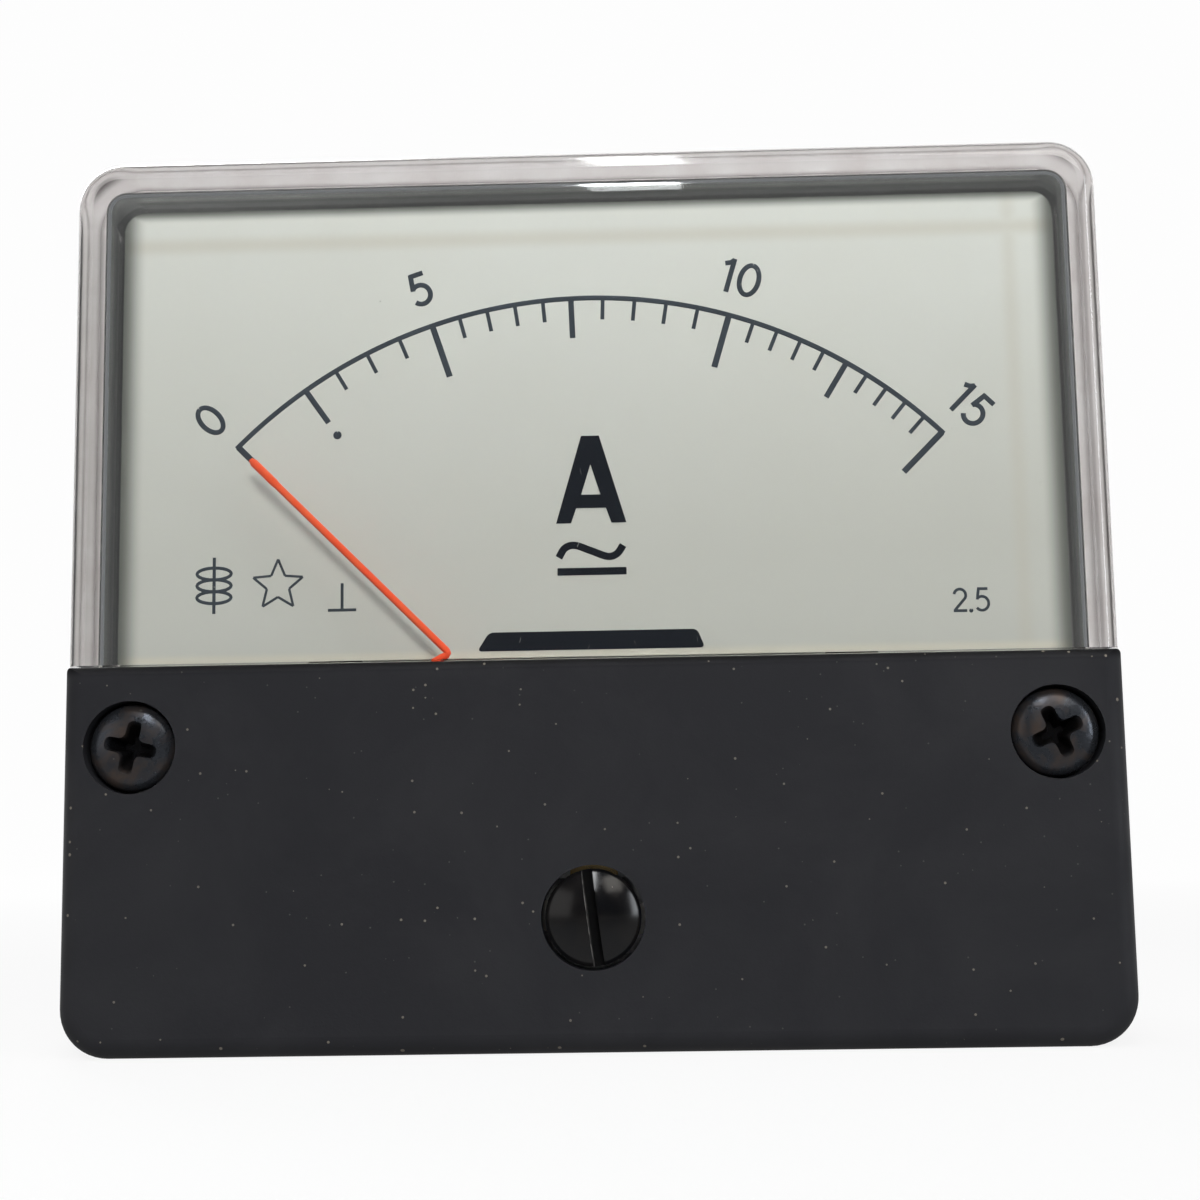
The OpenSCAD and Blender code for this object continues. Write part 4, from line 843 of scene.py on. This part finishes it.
def add_collar(rod, radius, y0, y1, segments=40):
    """A round or hexagonal length on the rod's axis, with a small chamfer."""
    turn = Matrix.Translation((0, (y0 + y1) / 2, 0)) @ Matrix.Rotation(math.pi / 2, 4, "X")
    made = bmesh.ops.create_cone(rod, cap_ends=True, segments=segments, radius1=radius, radius2=radius,
                                 depth=y1 - y0, matrix=turn)
    rims = {e for v in made["verts"] for e in v.link_edges if len({round(p.co.y, 7) for p in e.verts}) == 1}
    bmesh.ops.bevel(rod, geom=list(rims), affect="EDGES", offset=0.12 * MM, segments=2, profile=0.5,
                    material=-1)


def thread_the_studs(finish):
    """Studs with a flat head, a collar up to the panel's face and a relief where the thread starts."""
    head_r, head_t, collar_r, relief_r, relief_end, lap = (
        size * MM for size in (2.3, 1.4, 1.9, 1.19, 0.5, 0.1))
    for node in STUD_NODES:
        low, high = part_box(node)
        rod = thread_rod(M3_THREAD, relief_end - lap, high.y)
        add_collar(rod, head_r, low.y, low.y + head_t)
        add_collar(rod, collar_r, low.y + head_t - lap, 0)
        add_collar(rod, relief_r, -lap, relief_end)
        move_to_node(rod, node)
        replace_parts(make_piece(node + "_threaded", rod, finish, "case", smooth=False), node)


def thread_the_terminals(finish):
    """Bolts with a hexagonal head, which keeps the turn of the plain bolt's head."""
    head_t, lap = 3.5 * MM, 0.2 * MM
    past_thread = M5_THREAD[0] + 0.5 * MM
    for side in ("left", "right"):
        node = "terminal_bolt_" + side
        low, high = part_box(node)
        head_y = low.y + head_t
        rod = thread_rod(M5_THREAD, head_y - lap, high.y, steps=36)
        add_collar(rod, (high.z - low.z) / 2, low.y, head_y, segments=6)
        if high.x - low.x < high.z - low.z:
            head = [v for v in rod.verts if v.co.y < head_y + 0.01 * MM and v.co.xz.length > past_thread]
            bmesh.ops.rotate(rod, verts=head, cent=(0, 0, 0), matrix=Matrix.Rotation(math.pi / 6, 3, "Y"))
        move_to_node(rod, node)
        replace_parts(make_piece(node + "_threaded", rod, finish, "case", smooth=False), node)


def screw_head(radius, height, dome):
    """A low pan head, turned from its outline, with its crown at y = 0."""
    steps = 18
    crown = [math.pi / 2 * i / steps for i in range(1, steps + 1)]
    line = [(0, 0)] + [(radius * math.sin(a), dome * (1 - math.cos(a) ** 0.8)) for a in crown]
    head = bmesh.new()
    verts = [head.verts.new((r, y, 0)) for r, y in line + [(radius, height), (0, height)]]
    for a, b in zip(verts, verts[1:]):
        head.edges.new((a, b))
    turn_round(head, (0, 0, 0), 64)
    bmesh.ops.remove_doubles(head, verts=head.verts, dist=0.001 * MM)
    bmesh.ops.recalc_face_normals(head, faces=head.faces)
    return head


def cross_cutter(reach, half_width, depth):
    """A tapered cross with rounded arms, to cut a driver recess from a little in front of y = 0."""
    lead, taper = 0.3 * MM, 0.36
    cutter = bmesh.new()
    quarter = [(half_width, half_width), (half_width, reach), (-half_width, reach)]
    outline = [Matrix.Rotation(math.pi / 2 * i, 2) @ Vector(p) for i in range(4) for p in quarter]
    cutter.faces.new([cutter.verts.new((p.x, -lead, p.y)) for p in outline])
    bmesh.ops.bevel(cutter, geom=cutter.verts[:], affect="VERTICES", offset=0.8 * half_width, segments=4,
                    profile=0.5, material=-1)
    foot = raise_faces(cutter, (0, depth + lead, 0))
    bmesh.ops.scale(cutter, verts=foot, vec=(taper, 1, taper))
    bmesh.ops.recalc_face_normals(cutter, faces=cutter.faces)
    return cutter


def cut_out(blank, cutter):
    """What is left of a blank once the cutter has been through it."""
    blank = add_object("blank", mesh_of("blank", blank))
    cutter = add_object("cutter", mesh_of("cutter", cutter))
    cut = blank.modifiers.new("recess", "BOOLEAN")
    cut.operation, cut.object, cut.solver = "DIFFERENCE", cutter, "EXACT"
    bpy.context.view_layer.update()
    left = bmesh.new()
    left.from_object(blank, bpy.context.evaluated_depsgraph_get())
    for scrap in (blank, cutter):
        bpy.data.objects.remove(scrap)
    return left


def dress_cover_screws(finish):
    """Low pan heads with a worn cross recess. They are a little wider than the plain heads."""
    widening, height, dome = 1.04, 1.9 * MM, 1.05 * MM
    for side, turn in (("left", 12), ("right", -24)):
        node = "cover_screw_" + side
        low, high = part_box(node)
        blank = screw_head(widening * (high.z - low.z) / 2, height, dome)
        screw = cut_out(blank, cross_cutter(2.0 * MM, 0.52 * MM, 1.7 * MM))
        bmesh.ops.rotate(screw, verts=screw.verts, cent=(0, 0, 0),
                         matrix=Matrix.Rotation(math.radians(turn), 3, "Y"))
        screw.from_mesh(mesh_of("threads", thread_rod(M3_THREAD, height - 0.05 * MM, high.y - low.y)))
        move_to_node(screw, node, low.y)
        piece = make_piece(node + "_dressed", screw, finish, "case")
        piece.data.set_sharp_from_angle(angle=math.radians(32))
        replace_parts(piece, node)


# ---------- Stage, light and camera ----------

def seen_by(tree, camera, glossy, glass):
    """How much of the white background each kind of ray sees. Rays that have lit a matt surface see none."""
    path = add_node(tree, "ShaderNodeLightPath").outputs
    direct = maths(tree, "LESS_THAN", path["Diffuse Depth"], 0.5)
    through = maths(tree, "MULTIPLY", path["Is Transmission Ray"], direct)
    # A ray that is bent through glass counts as glossy too
    bounced = maths(tree, "SUBTRACT", path["Is Glossy Ray"], through, clamp=True)
    in_metal = maths(tree, "MULTIPLY", maths(tree, "MULTIPLY", bounced, direct), glossy)
    seen = maths(tree, "ADD", in_metal, maths(tree, "MULTIPLY", through, glass))
    return maths(tree, "MAXIMUM", maths(tree, "MULTIPLY", path["Is Camera Ray"], camera), seen)


def background_behind(tree, camera, behind):
    """The background's share in each kind of ray, where metal and glass see it only behind the meter."""
    glossy, glass = (maths(tree, "MULTIPLY", behind, share) for share in (0.85, 0.04))
    return seen_by(tree, camera, glossy, glass)


def stage_finish():
    """Plain paper that shows white, and keeps soft shadows. It lights the meter only as dark paper would."""
    material = bpy.data.materials.new("stage_paper")
    material.use_nodes = True
    tree = material.node_tree
    tree.nodes.remove(tree.nodes["Principled BSDF"])
    y = axes(tree, add_node(tree, "ShaderNodeTexCoord").outputs["Object"])[1]
    shown = background_behind(tree, ramp(tree, y, 0.08, 0.3, 0.86, 0.98), ramp(tree, y, -0.06, 0.08))
    white = seen_by(tree, 1.0, 0.0, 0.0)
    paper = add_node(tree, "ShaderNodeBsdfDiffuse", {"Color": blend(tree, white, grey(0.14), grey(0.86))})
    glow = add_node(tree, "ShaderNodeEmission", {"Color": (1, 1, 1, 1), "Strength": 1.0})
    mixed = add_node(tree, "ShaderNodeMixShader", {0: shown, 1: paper.outputs[0], 2: glow.outputs[0]})
    tree.links.new(mixed.outputs[0], tree.nodes["Material Output"].inputs["Surface"])
    return material


def build_stage():
    """A floor that curves up into a backdrop."""
    half, front, back, top, bend, steps = 1.5, -1.2, 0.6, 1.6, 0.35, 16
    angles = [math.pi / 2 * i / steps for i in range(steps + 1)]
    curved = [(0, bend * (math.sin(b) - math.sin(a)), bend * (math.cos(a) - math.cos(b)))
              for a, b in zip(angles, angles[1:])]
    sheet = bmesh.new()
    edges = [sheet.edges.new([sheet.verts.new((x, front, cad_box[0].z)) for x in (-half, half)])]
    for pull in [(0, back - front, 0), *curved, (0, 0, top)]:
        made = bmesh.ops.extrude_edge_only(sheet, edges=edges)["geom"]
        bmesh.ops.translate(sheet, verts=only(bmesh.types.BMVert, made), vec=pull)
        edges = only(bmesh.types.BMEdge, made)
    bmesh.ops.recalc_face_normals(sheet, faces=sheet.faces)
    mesh = mesh_of("stage", sheet)
    mesh.materials.append(stage_finish())
    mesh.polygons.foreach_set("use_smooth", [True] * len(mesh.polygons))
    stage = add_object("stage", mesh)


def soft_lamp(name, at, size, power, colour, in_gloss=True, through_glass=False):
    """A soft lamp aimed at the dial."""
    data = bpy.data.lights.new(name, "AREA")
    data.shape = "RECTANGLE"
    data.size, data.size_y = size
    data.energy = power
    data.color = colour
    lamp = add_object(name, data)
    lamp.location = at
    lamp.rotation_euler = (-Vector(at)).to_track_quat("-Z", "Y").to_euler()
    lamp.visible_glossy = in_gloss
    lamp.visible_transmission = through_glass


def light_studio():
    """A dim room, darkest in front, with a soft lamp at the upper right, one overhead and weak fills."""
    world = bpy.data.worlds.new("studio")
    world.use_nodes = True
    tree = world.node_tree
    tree.nodes.clear()
    heading = axes(tree, add_node(tree, "ShaderNodeTexCoord").outputs["Generated"])[1]
    shown = background_behind(tree, 1.0, ramp(tree, heading, 0.0, 0.4))
    level = ramp(tree, seen_by(tree, 0.0, 1.0, 0.0), 0, 1, 0.19, 0.04)
    room = add_node(tree, "ShaderNodeBackground", {"Color": (0.93, 0.96, 1.0, 1), "Strength": level})
    white = add_node(tree, "ShaderNodeBackground", {"Color": (1, 1, 1, 1), "Strength": 1.0})
    mixed = add_node(tree, "ShaderNodeMixShader", {0: shown, 1: room.outputs[0], 2: white.outputs[0]})
    tree.links.new(mixed.outputs[0], add_node(tree, "ShaderNodeOutputWorld").inputs["Surface"])
    bpy.context.scene.world = world
    soft_lamp("key_lamp", (0.045, -0.32, 0.09), (0.08, 0.08), 0.63, (1, 0.98, 0.95), in_gloss=False)
    soft_lamp("overhead_lamp", (0.002, -0.15, 0.26), (0.02, 0.3), 0.36, (0.96, 0.985, 1), through_glass=True)
    soft_lamp("room_glow", (0.13, -0.2, 0.2), (0.12, 0.12), 0.12, (1, 0.96, 0.9))
    soft_lamp("right_fill", (0.5, -0.3, 0.12), (0.07, 0.3), 0.5, (0.92, 0.96, 1))
    soft_lamp("left_fill", (-0.5, -0.35, 0.1), (0.5, 0.5), 0.5, (1, 0.98, 0.96))
    soft_lamp("back_fill", (-0.25, 0.5, 0.4), (0.3, 0.3), 1.8, (1, 1, 1))


def place_camera():
    """A close camera, a little below the meter's middle and looking slightly up."""
    place = Vector((3.78, -125.7, -15.31)) * MM
    ahead = Vector((-0.0266, 0.9917, 0.1259)).normalized()
    right = ahead.cross(Vector((0.0195, -0.1254, 0.9919))).normalized()
    up = right.cross(ahead)
    data = bpy.data.cameras.new("camera")
    data.sensor_width = 36
    data.lens = 54
    data.clip_start = 0.005
    camera = add_object("camera", data)
    camera.matrix_world = Matrix.Translation(place) @ Matrix((right, up, -ahead)).transposed().to_4x4()
    bpy.context.scene.camera = camera


dress_cad_nodes()
print_dial()
dress_pointer(FINISHES["pointer_orange"])
frost_cover_foot()
thread_the_studs(FINISHES["zinc_steel"])
thread_the_terminals(FINISHES["brass"])
dress_cover_screws(FINISHES["black_steel"])
build_stage()
light_studio()
place_camera()
bpy.context.scene.view_settings.view_transform = "Standard"
